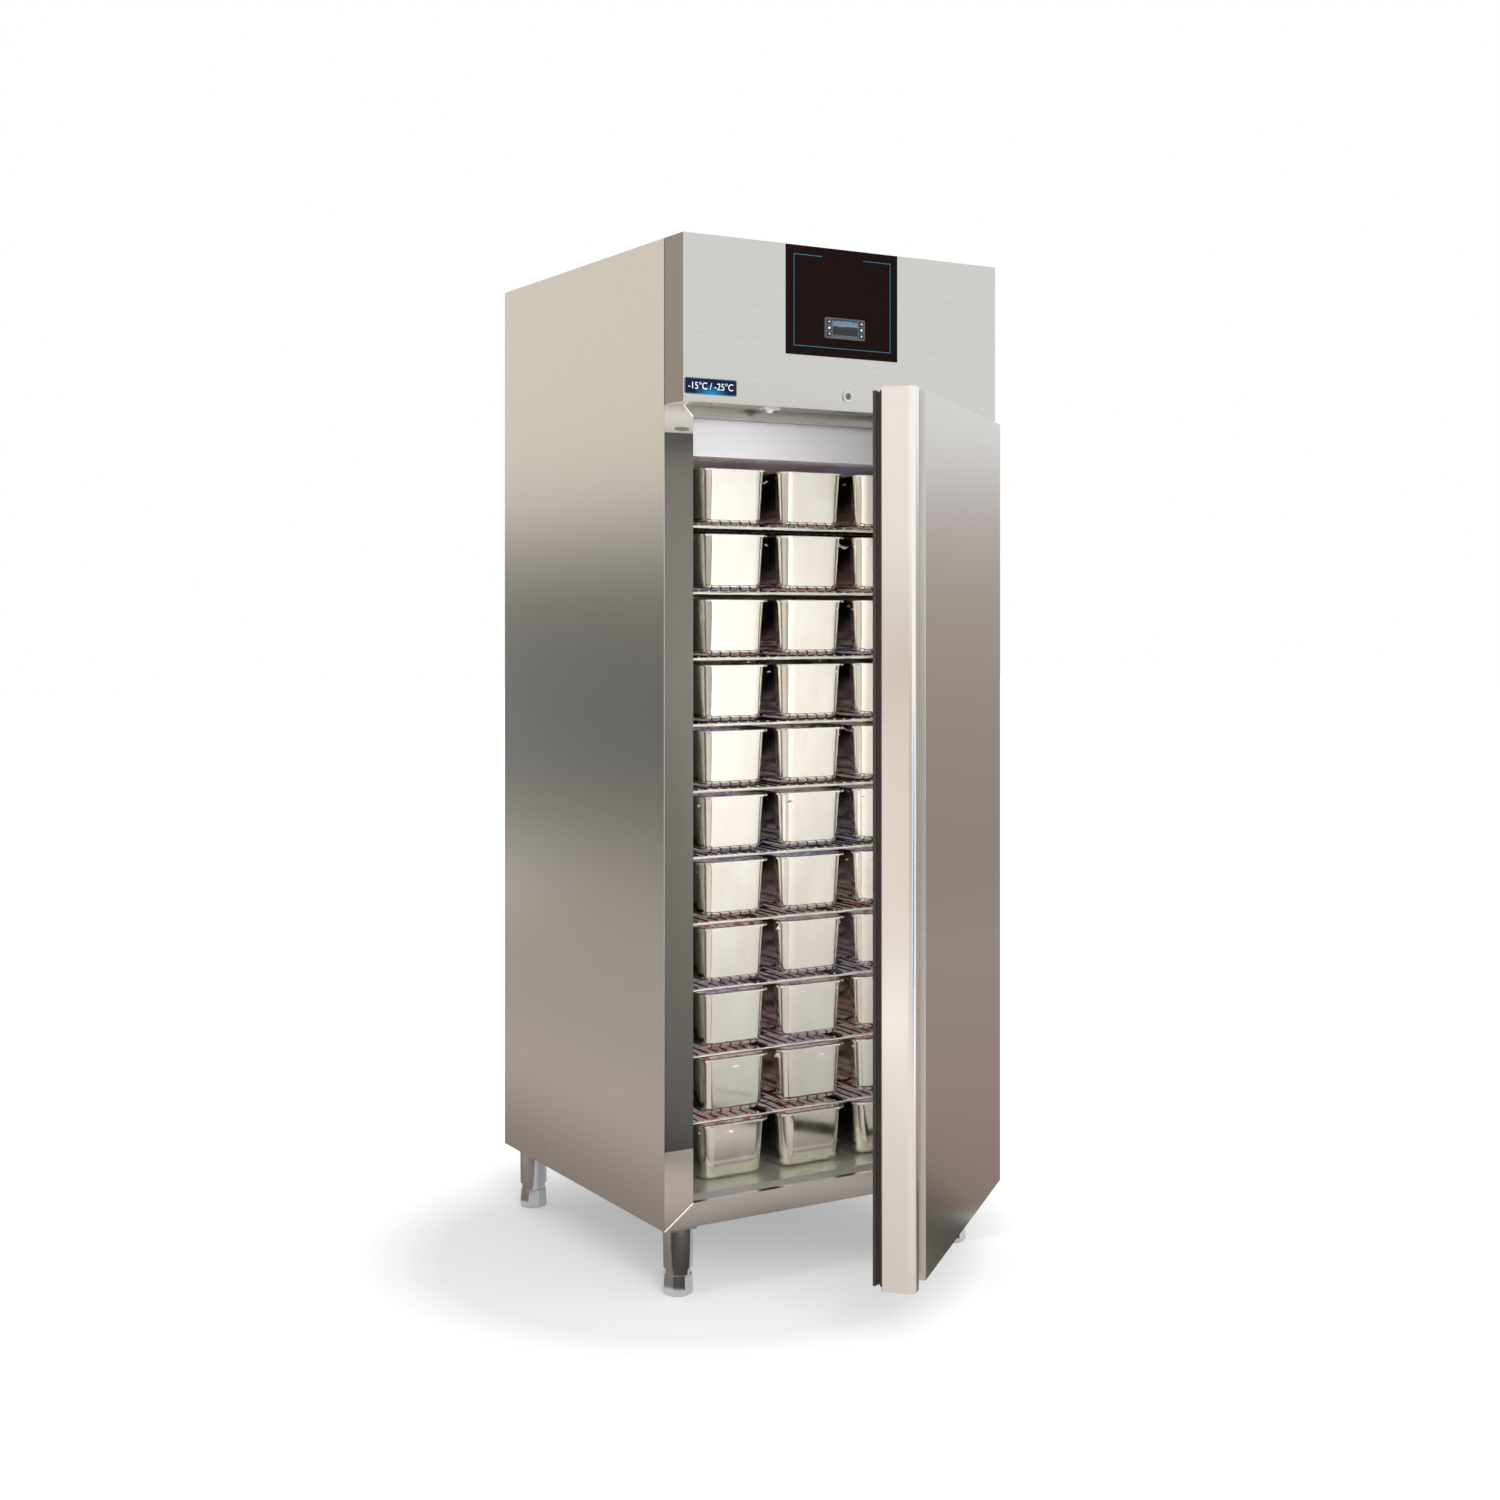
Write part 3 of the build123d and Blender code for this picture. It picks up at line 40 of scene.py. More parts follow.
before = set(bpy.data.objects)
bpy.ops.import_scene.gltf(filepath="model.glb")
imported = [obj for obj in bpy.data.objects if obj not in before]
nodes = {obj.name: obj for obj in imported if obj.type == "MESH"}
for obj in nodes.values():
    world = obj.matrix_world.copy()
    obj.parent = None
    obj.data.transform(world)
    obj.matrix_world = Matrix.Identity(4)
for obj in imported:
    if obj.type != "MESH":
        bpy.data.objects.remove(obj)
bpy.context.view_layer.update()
MM = 0.001
SHELVES = 10
CAD_BAR_RADIUS = 4 * MM


# Colours and small helpers


def linear(colour):
    """A hex colour as linear red, green, blue and alpha; a colour property is linear already."""
    if not isinstance(colour, str):
        return colour
    parts = [int(colour[place : place + 2], 16) / 255 for place in (1, 3, 5)]
    return (*[p / 12.92 if p <= 0.04045 else ((p + 0.055) / 1.055) ** 2.4 for p in parts], 1.0)


def colour_property(name, description, hex_colour):
    """A colour that the user can change in the sidebar."""
    limits = {"subtype": "COLOR", "size": 4, "min": 0, "max": 1}
    default = linear(hex_colour)
    return bpy.props.FloatVectorProperty(name=name, description=description, default=default, **limits)


def number_property(name, description, default, **limits):
    """A number that the user can change in the sidebar."""
    return bpy.props.FloatProperty(name=name, description=description, default=default, **limits)


def length_property(name, description, millimetres):
    """A length that the user can change in the sidebar."""
    return number_property(name, description, millimetres * MM, min=0, unit="LENGTH", precision=5)


def feed(tree, node, values=(), links=()):
    """Set a node's input values and incoming links."""
    for key, value in dict(values).items():
        node.inputs[key].default_value = value
    for key, source in dict(links).items():
        tree.links.new(source, node.inputs[key])
    return node


def add_node(tree, kind, settings=(), values=(), links=()):
    """Add a shader node with its settings, input values and incoming links."""
    node = tree.nodes.new(kind)
    for key, value in dict(settings).items():
        setattr(node, key, value)
    return feed(tree, node, values, links)


def new_material(name):
    """An empty material with its output and a shader joined to it."""
    material = bpy.data.materials.new(name)
    material.use_nodes = True
    tree = material.node_tree
    tree.nodes.clear()
    shader = add_node(tree, "ShaderNodeBsdfPrincipled")
    add_node(tree, "ShaderNodeOutputMaterial", links={"Surface": shader.outputs["BSDF"]})
    return material, tree, shader


def arithmetic(tree, operation, *terms, kind="ShaderNodeMath"):
    """The result of one operation on terms, each a number, a vector or another node's output."""
    node = add_node(tree, kind, {"operation": operation})
    for index, term in enumerate(terms):
        if isinstance(term, bpy.types.NodeSocket):
            tree.links.new(term, node.inputs[index])
        else:
            node.inputs[index].default_value = term
    return node.outputs[0]


def object_place(tree):
    """Object coordinates."""
    return add_node(tree, "ShaderNodeTexCoord").outputs["Object"]


def object_pattern(tree, scale=(1, 1, 1), shift=(0, 0, 0)):
    """Object coordinates, stretched and moved."""
    values = {"Scale": scale, "Location": shift}
    links = {"Vector": object_place(tree)}
    return add_node(tree, "ShaderNodeMapping", values=values, links=links).outputs["Vector"]


def axis_value(tree, vector, axis):
    """One part of a vector."""
    return add_node(tree, "ShaderNodeSeparateXYZ", links={"Vector": vector}).outputs[axis]


def noise(tree, vector, scale, detail, roughness=0.5):
    """Noise over those coordinates."""
    values = {"Scale": scale, "Detail": detail, "Roughness": roughness}
    return add_node(tree, "ShaderNodeTexNoise", values=values, links={"Vector": vector}).outputs["Fac"]


def round_gradient(tree, vector):
    """One at the middle of those coordinates, falling to nothing one unit away."""
    settings = {"gradient_type": "SPHERICAL"}
    return add_node(tree, "ShaderNodeTexGradient", settings, links={"Vector": vector}).outputs["Fac"]


def map_range(tree, value, source, target):
    """A value carried from one span to another."""
    values = dict(zip(("From Min", "From Max", "To Min", "To Max"), (*source, *target)))
    return add_node(tree, "ShaderNodeMapRange", values=values, links={"Value": value}).outputs["Result"]


def bump(tree, height, strength, distance, **links):
    """A surface bumped by that height."""
    values = {"Strength": strength, "Distance": distance}
    return add_node(tree, "ShaderNodeBump", (), values, {"Height": height, **links}).outputs["Normal"]


def mix_colours(tree, values, links, blend="MIX"):
    """Two colours mixed by a factor."""
    settings = {"data_type": "RGBA", "blend_type": blend}
    return add_node(tree, "ShaderNodeMix", settings, values, links).outputs["Result"]


def colour_ramp(tree, value, stops, interpolation="LINEAR"):
    """Colours picked by a value from stops of place and colour."""
    ramp = add_node(tree, "ShaderNodeValToRGB", links={"Fac": value})
    ramp.color_ramp.interpolation = interpolation
    elements = ramp.color_ramp.elements
    while len(elements) < len(stops):
        elements.new(0.5)
    for element, (place, colour) in zip(elements, stops):
        element.position = place
        element.color = linear(colour)
    return ramp.outputs["Color"]


def dress(material, *names):
    """Give a material to CAD nodes."""
    for name in names:
        mesh = nodes[name].data
        mesh.materials.clear()
        mesh.materials.append(material)


def deselect():
    """Leave nothing selected, because an operator acts on all that is."""
    bpy.ops.object.select_all(action="DESELECT")


def only(piece):
    """Select one object and make it active."""
    deselect()
    piece.select_set(True)
    bpy.context.view_layer.objects.active = piece
    return piece


def apply_modifier(piece, kind, **settings):
    """Add a modifier with its settings and apply it."""
    only(piece)
    modifier = piece.modifiers.new(kind.lower(), kind)
    for key, value in settings.items():
        setattr(modifier, key, value)
    bpy.ops.object.modifier_apply(modifier=modifier.name)
    return piece


def repeat(piece, count, offset):
    """Copy a piece in a row with a fixed offset."""
    apply_modifier(
        piece,
        "ARRAY",
        count=count,
        use_relative_offset=False,
        use_constant_offset=True,
        constant_offset_displace=offset,
    )


def join(pieces, name):
    """Join pieces into one with that name."""
    deselect()
    for piece in pieces:
        piece.select_set(True)
    bpy.context.view_layer.objects.active = pieces[0]
    if len(pieces) > 1:
        bpy.ops.object.join()
    joined = bpy.context.view_layer.objects.active
    joined.name = name
    return joined


def settle(piece, name, body, material):
    """Put a finished piece's place into its mesh, then name it, dress it and let it ride on its body."""
    only(piece)
    bpy.ops.object.transform_apply()
    piece.name = name
    piece.data.name = name
    piece.data.materials.clear()
    piece.data.materials.append(material)
    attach(piece, body)
    return piece


def edit_all():
    """Go into edit mode with everything selected."""
    bpy.ops.object.mode_set(mode="EDIT")
    bpy.ops.mesh.select_all(action="SELECT")


def leave_edit():
    """Go back to object mode."""
    bpy.ops.object.mode_set(mode="OBJECT")


def recalculate(piece):
    """Merge doubles and turn every face outwards."""
    only(piece)
    edit_all()
    bpy.ops.mesh.remove_doubles(threshold=1e-6)
    bpy.ops.mesh.normals_make_consistent(inside=False)
    leave_edit()
    return piece


def smooth(piece, degrees=35):
    """Smooth shading with edges kept sharp above that angle."""
    only(piece)
    bpy.ops.object.shade_smooth_by_angle(angle=math.radians(degrees))
    return piece


# Sizes and colours that a user would change


class FreezerSteel(bpy.types.PropertyGroup):
    """Colours and grain of the sheet metal."""

    body_tone: colour_property("Body sheet", "Brushed stainless steel of the body", "#d3d2ce")
    body_shade: colour_property("Body grain", "Darker lines of the brushed grain", "#c9c8c4")
    handle_tone: colour_property("Handle profile", "Satin steel of the door's handle edge", "#fdfbf8")
    handle_shade: colour_property("Handle clouds", "Darker clouds of the handle profile", "#f4f1ed")
    rail_tone: colour_property("Rail sheet", "Bright annealed steel of the frame's rails", "#e2dddd")
    rail_shade: colour_property("Rail clouds", "Darker clouds of the rails", "#d6d2d0")
    # Painted shade: the top rail's darker tone stands in for the fascia's shade over it.
    top_rail_painted_shade: colour_property("Top rail", "Darker tone of the rail in the fascia's shade", "#a8a39e")
    # Painted reflection: the stiles' dark tone and clouds stand in for the darker things that the stiles
    # mirror.
    stile_painted_reflection_tone: colour_property("Stile sheet", "Darker satin steel of the frame's stiles", "#716e6b")
    stile_painted_reflection_clouds: colour_property("Stile clouds", "Darker clouds of the stile sheet", "#686562")
    patch_tone: colour_property("Stile ends", "Pale tone that stands in for reflections there", "#dcd5d0")
    patch_low: length_property("Lower patch", "Height up to which a stile's lower end is pale", 290)
    patch_high: length_property("Upper patch", "Height from which a stile's upper end is pale", 1669)
    # Painted shade: the fascia's left end takes a darker tone only to stand in for shade there.
    fascia_end_painted_shade: colour_property("Fascia end", "Darker tone of the fascia's left end", "#8f8884")
    liner_tone: colour_property("Liner sheet", "Satin steel of the inner tub", "#d6d4c6")
    liner_shade: colour_property("Liner clouds", "Darker clouds of the rolled steel", "#bab8aa")
    pan_tone: colour_property("Pan steel", "Deep drawn steel of the pans", "#f3f1ea")
    pan_shade: colour_property("Pan clouds", "Darker clouds of the pan steel", "#ece8e1")
    # The duct's white coat is set greyer than it is, as painted shade that offsets the strong front light.
    duct_coat_and_painted_shade: colour_property("Duct coat", "White powder coat of the air duct", "#bebcc0")
    panel_tone: colour_property("Inner panel coat", "White powder coat of the door's inner panel", "#f4f3ee")
    grain_spacing: length_property("Grain spacing", "Distance between brushed lines", 0.6)
    grain_length: length_property("Grain length", "Length of a brushed line", 45)
    waviness: length_property("Waviness", "Distance between the slow swells of the thin sheet", 420)


class FreezerTrim(bpy.types.PropertyGroup):
    """Colours and sizes of plastics, glass and print."""

    gasket_tone: colour_property("Gasket", "Flexible magnetic gasket", "#2f2724")
    break_tone: colour_property("Thermal break", "Plastic strip behind the frame", "#8a8783")
    glass_tone: colour_property("Glass print", "Dark print behind the control glass", "#170e0c")
    line_tone: colour_property("Frame line", "Printed line round the control glass", "#1f5f78")
    label_tone: colour_property("Label", "Ground of the temperature label", "#0a1730")
    glow_tone: colour_property("Label glow", "Lighter patch at the label's lower edge", "#126a90")
    outline_tone: colour_property("Label outline", "Printed line round the temperature label", "#5c7f95")
    line_width: length_property("Line width", "Width of the printed line", 1.3)
    line_inset: length_property("Line inset", "Distance of the line from the glass edge", 17)
    label_border: length_property("Label border", "Width of the label's pale outline", 0.6)
    wire_tone: colour_property("Wires", "Dark tone that stands in for what the wires mirror", "#4c4a46")
    wire_radius: length_property("Wire radius", "Radius of the shelf wires", 1.5)
    bar_radius: length_property("Bar radius", "Radius of the shelf's frame bar", 3)
    rod_radius: length_property("Rod radius", "Radius of the cross rods under the wires", 3)
    wire_spacing: length_property("Wire spacing", "Distance between the shelf wires", 23)
    shelf_corner: length_property("Shelf corner", "Radius of the shelf's corners", 20)
    weld_overlap: length_property("Weld overlap", "How far the wires sink into their bar", 0.5)
    pan_gap: length_property("Pan gap", "Distance between two pans of a row", 18)
    lump_size: length_property("Lump size", "Size of the lumps of ice cream", 15)
    cream_glow: number_property("Cream glow", "Stand-in for light scattered inside", 0.12, min=0)
    lump_rise: length_property("Lump rise", "Height between the lumps' tops and hollows", 17)
    weld_width: length_property("Weld width", "Width of the polished weld lines at the frame's corners", 2.2)
    opening_half: length_property("Opening half", "Half of the opening's width", 306)
    opening_low: length_property("Opening low", "Height of the opening's lower edge", 184)
    opening_high: length_property("Opening high", "Height of the opening's upper edge", 1702)


class FreezerStage(bpy.types.PropertyGroup):
    """Camera and light of the studio."""

    camera_place: bpy.props.FloatVectorProperty(
        name="Camera place",
        description="Where the camera stands",
        size=3,
        subtype="TRANSLATION",
        unit="LENGTH",
        default=(-2.1669, -3.67855, 1.3152),
    )
    camera_turn: number_property(
        "Camera turn", "How far the camera looks to the right", math.radians(31.03), unit="ROTATION"
    )
    lens: number_property("Lens", "Focal length in millimetres on a 36 mm wide picture", 47.168, min=1)
    rise: number_property("Rise", "Upward shift of the lens as a share of the picture", -0.0887)
    floor_tone: colour_property("Floor", "Pale studio floor", "#c0c0c0")
    floor_glow: number_property("Floor glow", "How white the far floor looks without light", 0.8, min=0)
    # These set the floor's painted shadow round the cabinet: its glow in full shade and the distance at which
    # it ends.
    painted_shadow_glow: number_property("Shade glow", "How white the floor looks in full shade", 0.3, min=0)
    painted_shadow_reach: length_property("Shade reach", "Distance at which the floor is white again", 950)
    key_power: number_property("Key light", "Large soft light", 25, min=0, unit="POWER")
    front_power: number_property("Front light", "Soft light into the opening", 100, min=0, unit="POWER")
    door_power: number_property("Door light", "Light on the open door's inside", 5, min=0, unit="POWER")


# Materials


def brushed_steel(name, grain_axis, settings):
    """Stainless steel sheet, belt brushed: long fine lines that stretch every highlight across them."""
    material, tree, shader = new_material(name)
    across = 1 / settings.grain_spacing
    along = 1 / settings.grain_length
    scale = {"Z": (across, across, along), "X": (along, across, across)}[grain_axis]
    roughness = 0.24
    grain = noise(tree, object_pattern(tree, scale), scale=1, detail=4, roughness=0.65)
    swell = noise(tree, object_pattern(tree), scale=1 / settings.waviness, detail=1)
    slow = bump(tree, swell, strength=0.12, distance=0.004)
    links = {
        "Base Color": colour_ramp(tree, grain, ((0.3, settings.body_shade), (0.7, settings.body_tone))),
        "Roughness": map_range(tree, grain, (0.3, 0.7), (roughness - 0.02, roughness + 0.02)),
        "Normal": bump(tree, grain, strength=0.02, distance=0.0002, Normal=slow),
    }
    feed(tree, shader, {"Metallic": 1}, links)
    return material


def rolled_steel(name, tone, shade, roughness, cloud, metallic=1):
    """Cold rolled or plated metal: no grain, only faint clouds; a matt skin is less metallic."""
    material, tree, shader = new_material(name)
    pattern = object_pattern(tree, (1, 1, 0.5))
    clouds = noise(tree, pattern, scale=1 / cloud, detail=3, roughness=0.55)
    links = {
        "Base Color": colour_ramp(tree, clouds, ((0.35, shade), (0.65, tone))),
        "Roughness": map_range(tree, clouds, (0.3, 0.7), (roughness - 0.03, roughness + 0.04)),
    }
    feed(tree, shader, {"Metallic": metallic}, links)
    return material


def tone_region(material, axis, side, limit, tone):
    """Give the sheet another tone on one side of a limit: painted light and shade in place of what the metal
    mirrors there.
    """
    tree = material.node_tree
    shader = next(node for node in tree.nodes if node.type == "BSDF_PRINCIPLED")
    sheet = shader.inputs["Base Color"].links[0].from_socket
    region = arithmetic(tree, side, axis_value(tree, object_place(tree), axis), limit)
    mixed = mix_colours(tree, {"B": tone}, {"Factor": region, "A": sheet})
    feed(tree, shader, links={"Base Color": mixed})


def moulded_plastic(name, tone, shade, roughness, texture_size):
    """Injection moulded or extruded plastic: an even colour with a faint pebbled skin from the tool."""
    material, tree, shader = new_material(name)
    pebble = noise(tree, object_pattern(tree), scale=1 / texture_size, detail=2)
    links = {
        "Base Color": colour_ramp(tree, pebble, ((0.35, shade), (0.65, tone))),
        "Normal": bump(tree, pebble, strength=0.15, distance=0.0002),
    }
    feed(tree, shader, {"Roughness": roughness, "IOR": 1.5}, links)
    return material


def pan_flavours(tree, place, start, pitch):
    """One colour for each pan, picked by the pan's row and column."""
    kind = "ShaderNodeVectorMath"
    shifted = arithmetic(tree, "SUBTRACT", place, start, kind=kind)
    cells = arithmetic(tree, "DIVIDE", shifted, pitch, kind=kind)
    whole = arithmetic(tree, "FLOOR", cells, kind=kind)
    flavour = add_node(tree, "ShaderNodeTexWhiteNoise", links={"Vector": whole}).outputs["Value"]
    tones = ("#d86a80", "#f0c4d0", "#9a86d6", "#f0a890", "#d0606c", "#a9bff2", "#e2b0cc", "#b89ae2")
    stops = [(index / len(tones), tone) for index, tone in enumerate(tones)]
    return colour_ramp(tree, flavour, stops, "CONSTANT")


def frozen_cream(start, pitch, lump_size, glow):
    """Hard ice cream, a flavour to each pan: pale and coloured lumps, syrup between them, frost.

    A faint emission stands in for the light that is scattered inside it.
    """
    material, tree, shader = new_material("Frozen_cream_mixed_flavours")
    place = object_place(tree)
    base = pan_flavours(tree, place, start, pitch)
    lumps = add_node(tree, "ShaderNodeTexVoronoi", (), {"Scale": 1 / lump_size}, {"Vector": place})
    pick = add_node(tree, "ShaderNodeSeparateColor", links={"Color": lumps.outputs["Color"]})
    tint = map_range(tree, pick.outputs["Red"], (0.4, 1), (0, 1))
    mixed = mix_colours(tree, {"A": linear("#fbf3f4")}, {"Factor": tint, "B": base})
    syrup = colour_ramp(tree, lumps.outputs["Distance"], ((0.62, "#ffffff"), (0.9, "#8a4452")))
    shaded = mix_colours(tree, {"Factor": 0.8}, {"A": mixed, "B": syrup}, "MULTIPLY")
    frost = noise(tree, place, scale=240, detail=3)
    values = {
        "Emission Strength": glow,
        "Roughness": 0.55,
        "Subsurface Weight": 0.15,
        "Subsurface Scale": 0.004,
    }
    links = {
        "Base Color": shaded,
        "Emission Color": shaded,
        "Normal": bump(tree, frost, strength=0.6, distance=0.002),
    }
    feed(tree, shader, values, links)
    return material


def display_picture():
    """Back-lit display: a pale sky fading down to a dark ground, under a dark title bar."""
    material, tree, shader = new_material("Display_window_backlit")
    low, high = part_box("controller_screen")
    place = object_place(tree)
    rise = map_range(tree, axis_value(tree, place, "Z"), (low.z, high.z), (0, 1))
    hills = noise(tree, place, scale=160, detail=3)
    hill_height = 0.22
    ragged = arithmetic(tree, "MULTIPLY_ADD", hills, hill_height, rise)
    stops = (
        (0.0, "#0b0f12"),
        (0.5, "#141c1c"),
        (0.62, "#2c4234"),
        (0.68, "#9fb9cf"),
        (0.98, "#86a9cc"),
        (1.0, "#3a5068"),
    )
    values = {"Emission Strength": 0.5, "Base Color": linear("#050606"), "Roughness": 0.12}
    feed(tree, shader, values, {"Emission Color": colour_ramp(tree, ragged, stops)})
    return material


def insulation_foam():
    """Rigid foam: a dull straw skin, pitted where bubbles met the mould."""
    material, tree, shader = new_material("Rigid_foam_moulded_skin")
    pattern = {"Vector": object_pattern(tree)}
    bubbles = add_node(tree, "ShaderNodeTexVoronoi", (), {"Scale": 160}, pattern).outputs["Distance"]
    links = {
        "Base Color": colour_ramp(tree, bubbles, ((0.1, "#b79a5a"), (0.6, "#dcc88e"))),
        "Normal": bump(tree, bubbles, strength=0.4, distance=0.001),
    }
    feed(tree, shader, {"Roughness": 0.9}, links)
    return material


def glowing_label(tone, glow):
    """Printed film label: a dark ground with a lighter patch at the middle of its lower edge."""
    material, tree, shader = new_material("Polyester_label_printed")
    low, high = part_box("temperature_label")
    patch_place = {
        "Location": ((low.x + high.x) / 2, (low.y + high.y) / 2, low.z),
        "Scale": ((high.x - low.x) * 0.34, 1, (high.z - low.z) * 0.6),
    }
    links = {"Vector": object_place(tree)}
    near = add_node(tree, "ShaderNodeMapping", {"vector_type": "TEXTURE"}, patch_place, links)
    patch = round_gradient(tree, near.outputs["Vector"])
    tones = colour_ramp(tree, patch, ((0.0, tone), (0.9, glow)))
    feed(tree, shader, {"Roughness": 0.25, "Specular IOR Level": 0.1}, {"Base Color": tones})
    return material


def glossy_enamel(name, tone, roughness, shine=0.5):
    """Enamel, powder coat or back-printed glass: a deep even colour with a faint orange peel."""
    material, tree, shader = new_material(name)
    peel = noise(tree, object_pattern(tree), scale=90, detail=1)
    values = {"Base Color": tone, "Roughness": roughness, "IOR": 1.5, "Specular IOR Level": shine}
    feed(tree, shader, values, {"Normal": bump(tree, peel, strength=0.05, distance=0.0003)})
    return material


def printed_ink(name, tone):
    """Screen printed ink: flat, slightly uneven in cover."""
    material, tree, shader = new_material(name)
    cover = noise(tree, object_pattern(tree), scale=700, detail=2)
    thin_share = 0.85
    thin = tuple(thin_share * part for part in tone[:3]) + (1.0,)
    links = {"Base Color": colour_ramp(tree, cover, ((0.2, thin), (0.6, tone)))}
    feed(tree, shader, {"Roughness": 0.4}, links)
    return material


# Operators


class FreezerDressPanels(bpy.types.Operator):
    """Finish the body, fascia, door and frame sheets"""

    bl_idname = "freezer.dress_panels"
    bl_label = "Outer sheets"

    def execute(self, context):
        steel = context.scene.freezer_steel
        upright = brushed_steel("Stainless_steel_belt_brushed_upright", "Z", steel)
        level = brushed_steel("Stainless_steel_belt_brushed_level", "X", steel)
        fascia = brushed_steel("Stainless_steel_belt_brushed_fascia", "X", steel)
        # Painted shade on the fascia's left end.
        end_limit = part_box("fascia_panel")[0].x + 0.2 * MM
        tone_region(fascia, "X", "LESS_THAN", end_limit, steel.fascia_end_painted_shade)
        handle = rolled_steel(
            "Stainless_steel_satin_profile", steel.handle_tone, steel.handle_shade, 0.2, 0.3
        )
        rail = rolled_steel("Stainless_steel_bright_annealed", steel.rail_tone, steel.rail_shade, 0.2, 0.2)
        # Painted shade on the top rail, under the fascia.
        top_rail_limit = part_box("frame_rails")[1].z - 100 * MM
        tone_region(rail, "Z", "GREATER_THAN", top_rail_limit, steel.top_rail_painted_shade)
        # The stile gets a dark painted reflection in its tone and pale painted reflections at its ends.
        stile = rolled_steel("Stainless_steel_stile_painted_reflection", steel.stile_painted_reflection_tone, steel.stile_painted_reflection_clouds, 0.2, 0.2)
        tone_region(stile, "Z", "LESS_THAN", steel.patch_low, steel.patch_tone)
        tone_region(stile, "Z", "GREATER_THAN", steel.patch_high, steel.patch_tone)
        dress(upright, "side_panel_left", "side_panel_right", "door_skin")
        dress(level, "top_cover")
        dress(fascia, "fascia_panel")
        dress(handle, "door_handle_profile")
        dress(rail, "frame_rails")
        dress(stile, "frame_stiles")
        return {"FINISHED"}


class FreezerDressColdSpace(bpy.types.Operator):
    """Finish the inner tub, racks, pans and air ducts"""

    bl_idname = "freezer.dress_cold_space"
    bl_label = "Cold space"

    def execute(self, context):
        steel = context.scene.freezer_steel
        liner = rolled_steel(
            "Stainless_steel_matt_liner", steel.liner_tone, steel.liner_shade, 0.25, 0.12, 0.6
        )
        pan = rolled_steel("Stainless_steel_deep_drawn", steel.pan_tone, steel.pan_shade, 0.1, 0.06)
        # The duct's coat tone carries painted shade against the strong front light.
        duct = glossy_enamel("Steel_powder_coated_white_duct", steel.duct_coat_and_painted_shade, 0.45)
        panel = glossy_enamel("Steel_powder_coated_white_panel", steel.panel_tone, 0.45)
        dress(liner, "liner_tub", "rear_duct_panel", "shelf_racks")
        dress(pan, "ice_cream_pans")
        dress(duct, "air_duct_cover")
        dress(panel, "door_inner_panel")
        return {"FINISHED"}


class FreezerDressPlastics(bpy.types.Operator):
    """Finish the gasket, thermal break, caps, bushes, switch and foam"""

    bl_idname = "freezer.dress_plastics"
    bl_label = "Plastics, rubber and foam"

    def execute(self, context):
        trim = context.scene.freezer_trim
        gasket = moulded_plastic("Thermoplastic_rubber_extruded", trim.gasket_tone, "#1a1513", 0.6, 0.002)
        strip = moulded_plastic("PVC_extruded_grey", trim.break_tone, "#7c7976", 0.4, 0.003)
        dark = moulded_plastic("ABS_moulded_dark", "#4a4846", "#3a3836", 0.5, 0.003)
        grey = moulded_plastic("ABS_moulded_grey", "#8b8c8c", "#7d7e7e", 0.5, 0.003)
        white = moulded_plastic("ABS_moulded_white", "#c9c7c1", "#bfbdb7", 0.45, 0.003)
        keys = moulded_plastic("Silicone_rubber_moulded_keys", "#26272a", "#1d1e20", 0.5, 0.001)
        bezel = moulded_plastic("ABS_painted_silver", "#4a4c50", "#404246", 0.32, 0.002)
        dress(gasket, "door_gasket")
        dress(strip, "thermal_break")
        dress(dark, "evaporator_fan_motor", "evaporator_fan_blade")
        dress(grey, "door_end_caps", "hinge_bushes", "electrical_box")
        dress(white, "switch_housing", "switch_plunger")
        dress(bezel, "controller_bezel")
        dress(keys, *[name for name in nodes if name.startswith("key_")])
        dress(insulation_foam(), "insulation", "door_insulation")
        return {"FINISHED"}


class FreezerDressMachine(bpy.types.Operator):
    """Finish the cooling machine, hinges, screws and hidden sheets"""

    bl_idname = "freezer.dress_machine"
    bl_label = "Machine and hinges"

    def execute(self, context):
        zinc = rolled_steel("Steel_zinc_plated", "#c3c5c6", "#a9acae", 0.35, 0.02)
        sheet = rolled_steel("Steel_hot_dip_galvanised", "#b9bcbd", "#9da1a3", 0.45, 0.03)
        fins = rolled_steel("Aluminium_rolled_fins", "#d8d9da", "#c2c4c5", 0.35, 0.02)
        copper = rolled_steel("Copper_drawn_tube", "#d08a62", "#a9653f", 0.3, 0.03)
        chrome = rolled_steel("Brass_chrome_plated", "#dcdcdc", "#cfcfcf", 0.12, 0.01)
        nickel = rolled_steel("Brass_nickel_plated_dull", "#8f8e8c", "#7d7c7a", 0.2, 0.01)
        enamel = glossy_enamel("Steel_stove_enamelled_black", linear("#141414"), 0.25)
        dress(zinc, "upper_hinge", "lower_hinge", "fascia_hinge_fixed_leaf", "fascia_hinge_moving_leaf")
        dress(zinc, "panel_screws", "fascia_screws", "leg_plates")
        dress(sheet, "back_panel", "base_panel", "machine_deck", "condenser_fan_shroud")
        dress(fins, "evaporator_coil", "condenser_coil", "condenser_fan_blade")
        dress(copper, "refrigerant_pipes")
        dress(chrome, "lock_barrel")
        dress(nickel, "lock_plug")
        dress(enamel, "compressor")
        return {"FINISHED"}


class FreezerDressLegs(bpy.types.Operator):
    """Finish the legs and the levelling feet"""

    bl_idname = "freezer.dress_legs"
    bl_label = "Legs"

    def execute(self, context):
        leg = rolled_steel("Stainless_steel_satin_tube", "#cfd0d3", "#c0c1c4", 0.14, 0.03)
        dress(leg, "leg_tubes", *[name for name in nodes if name.startswith("foot_")])
        return {"FINISHED"}


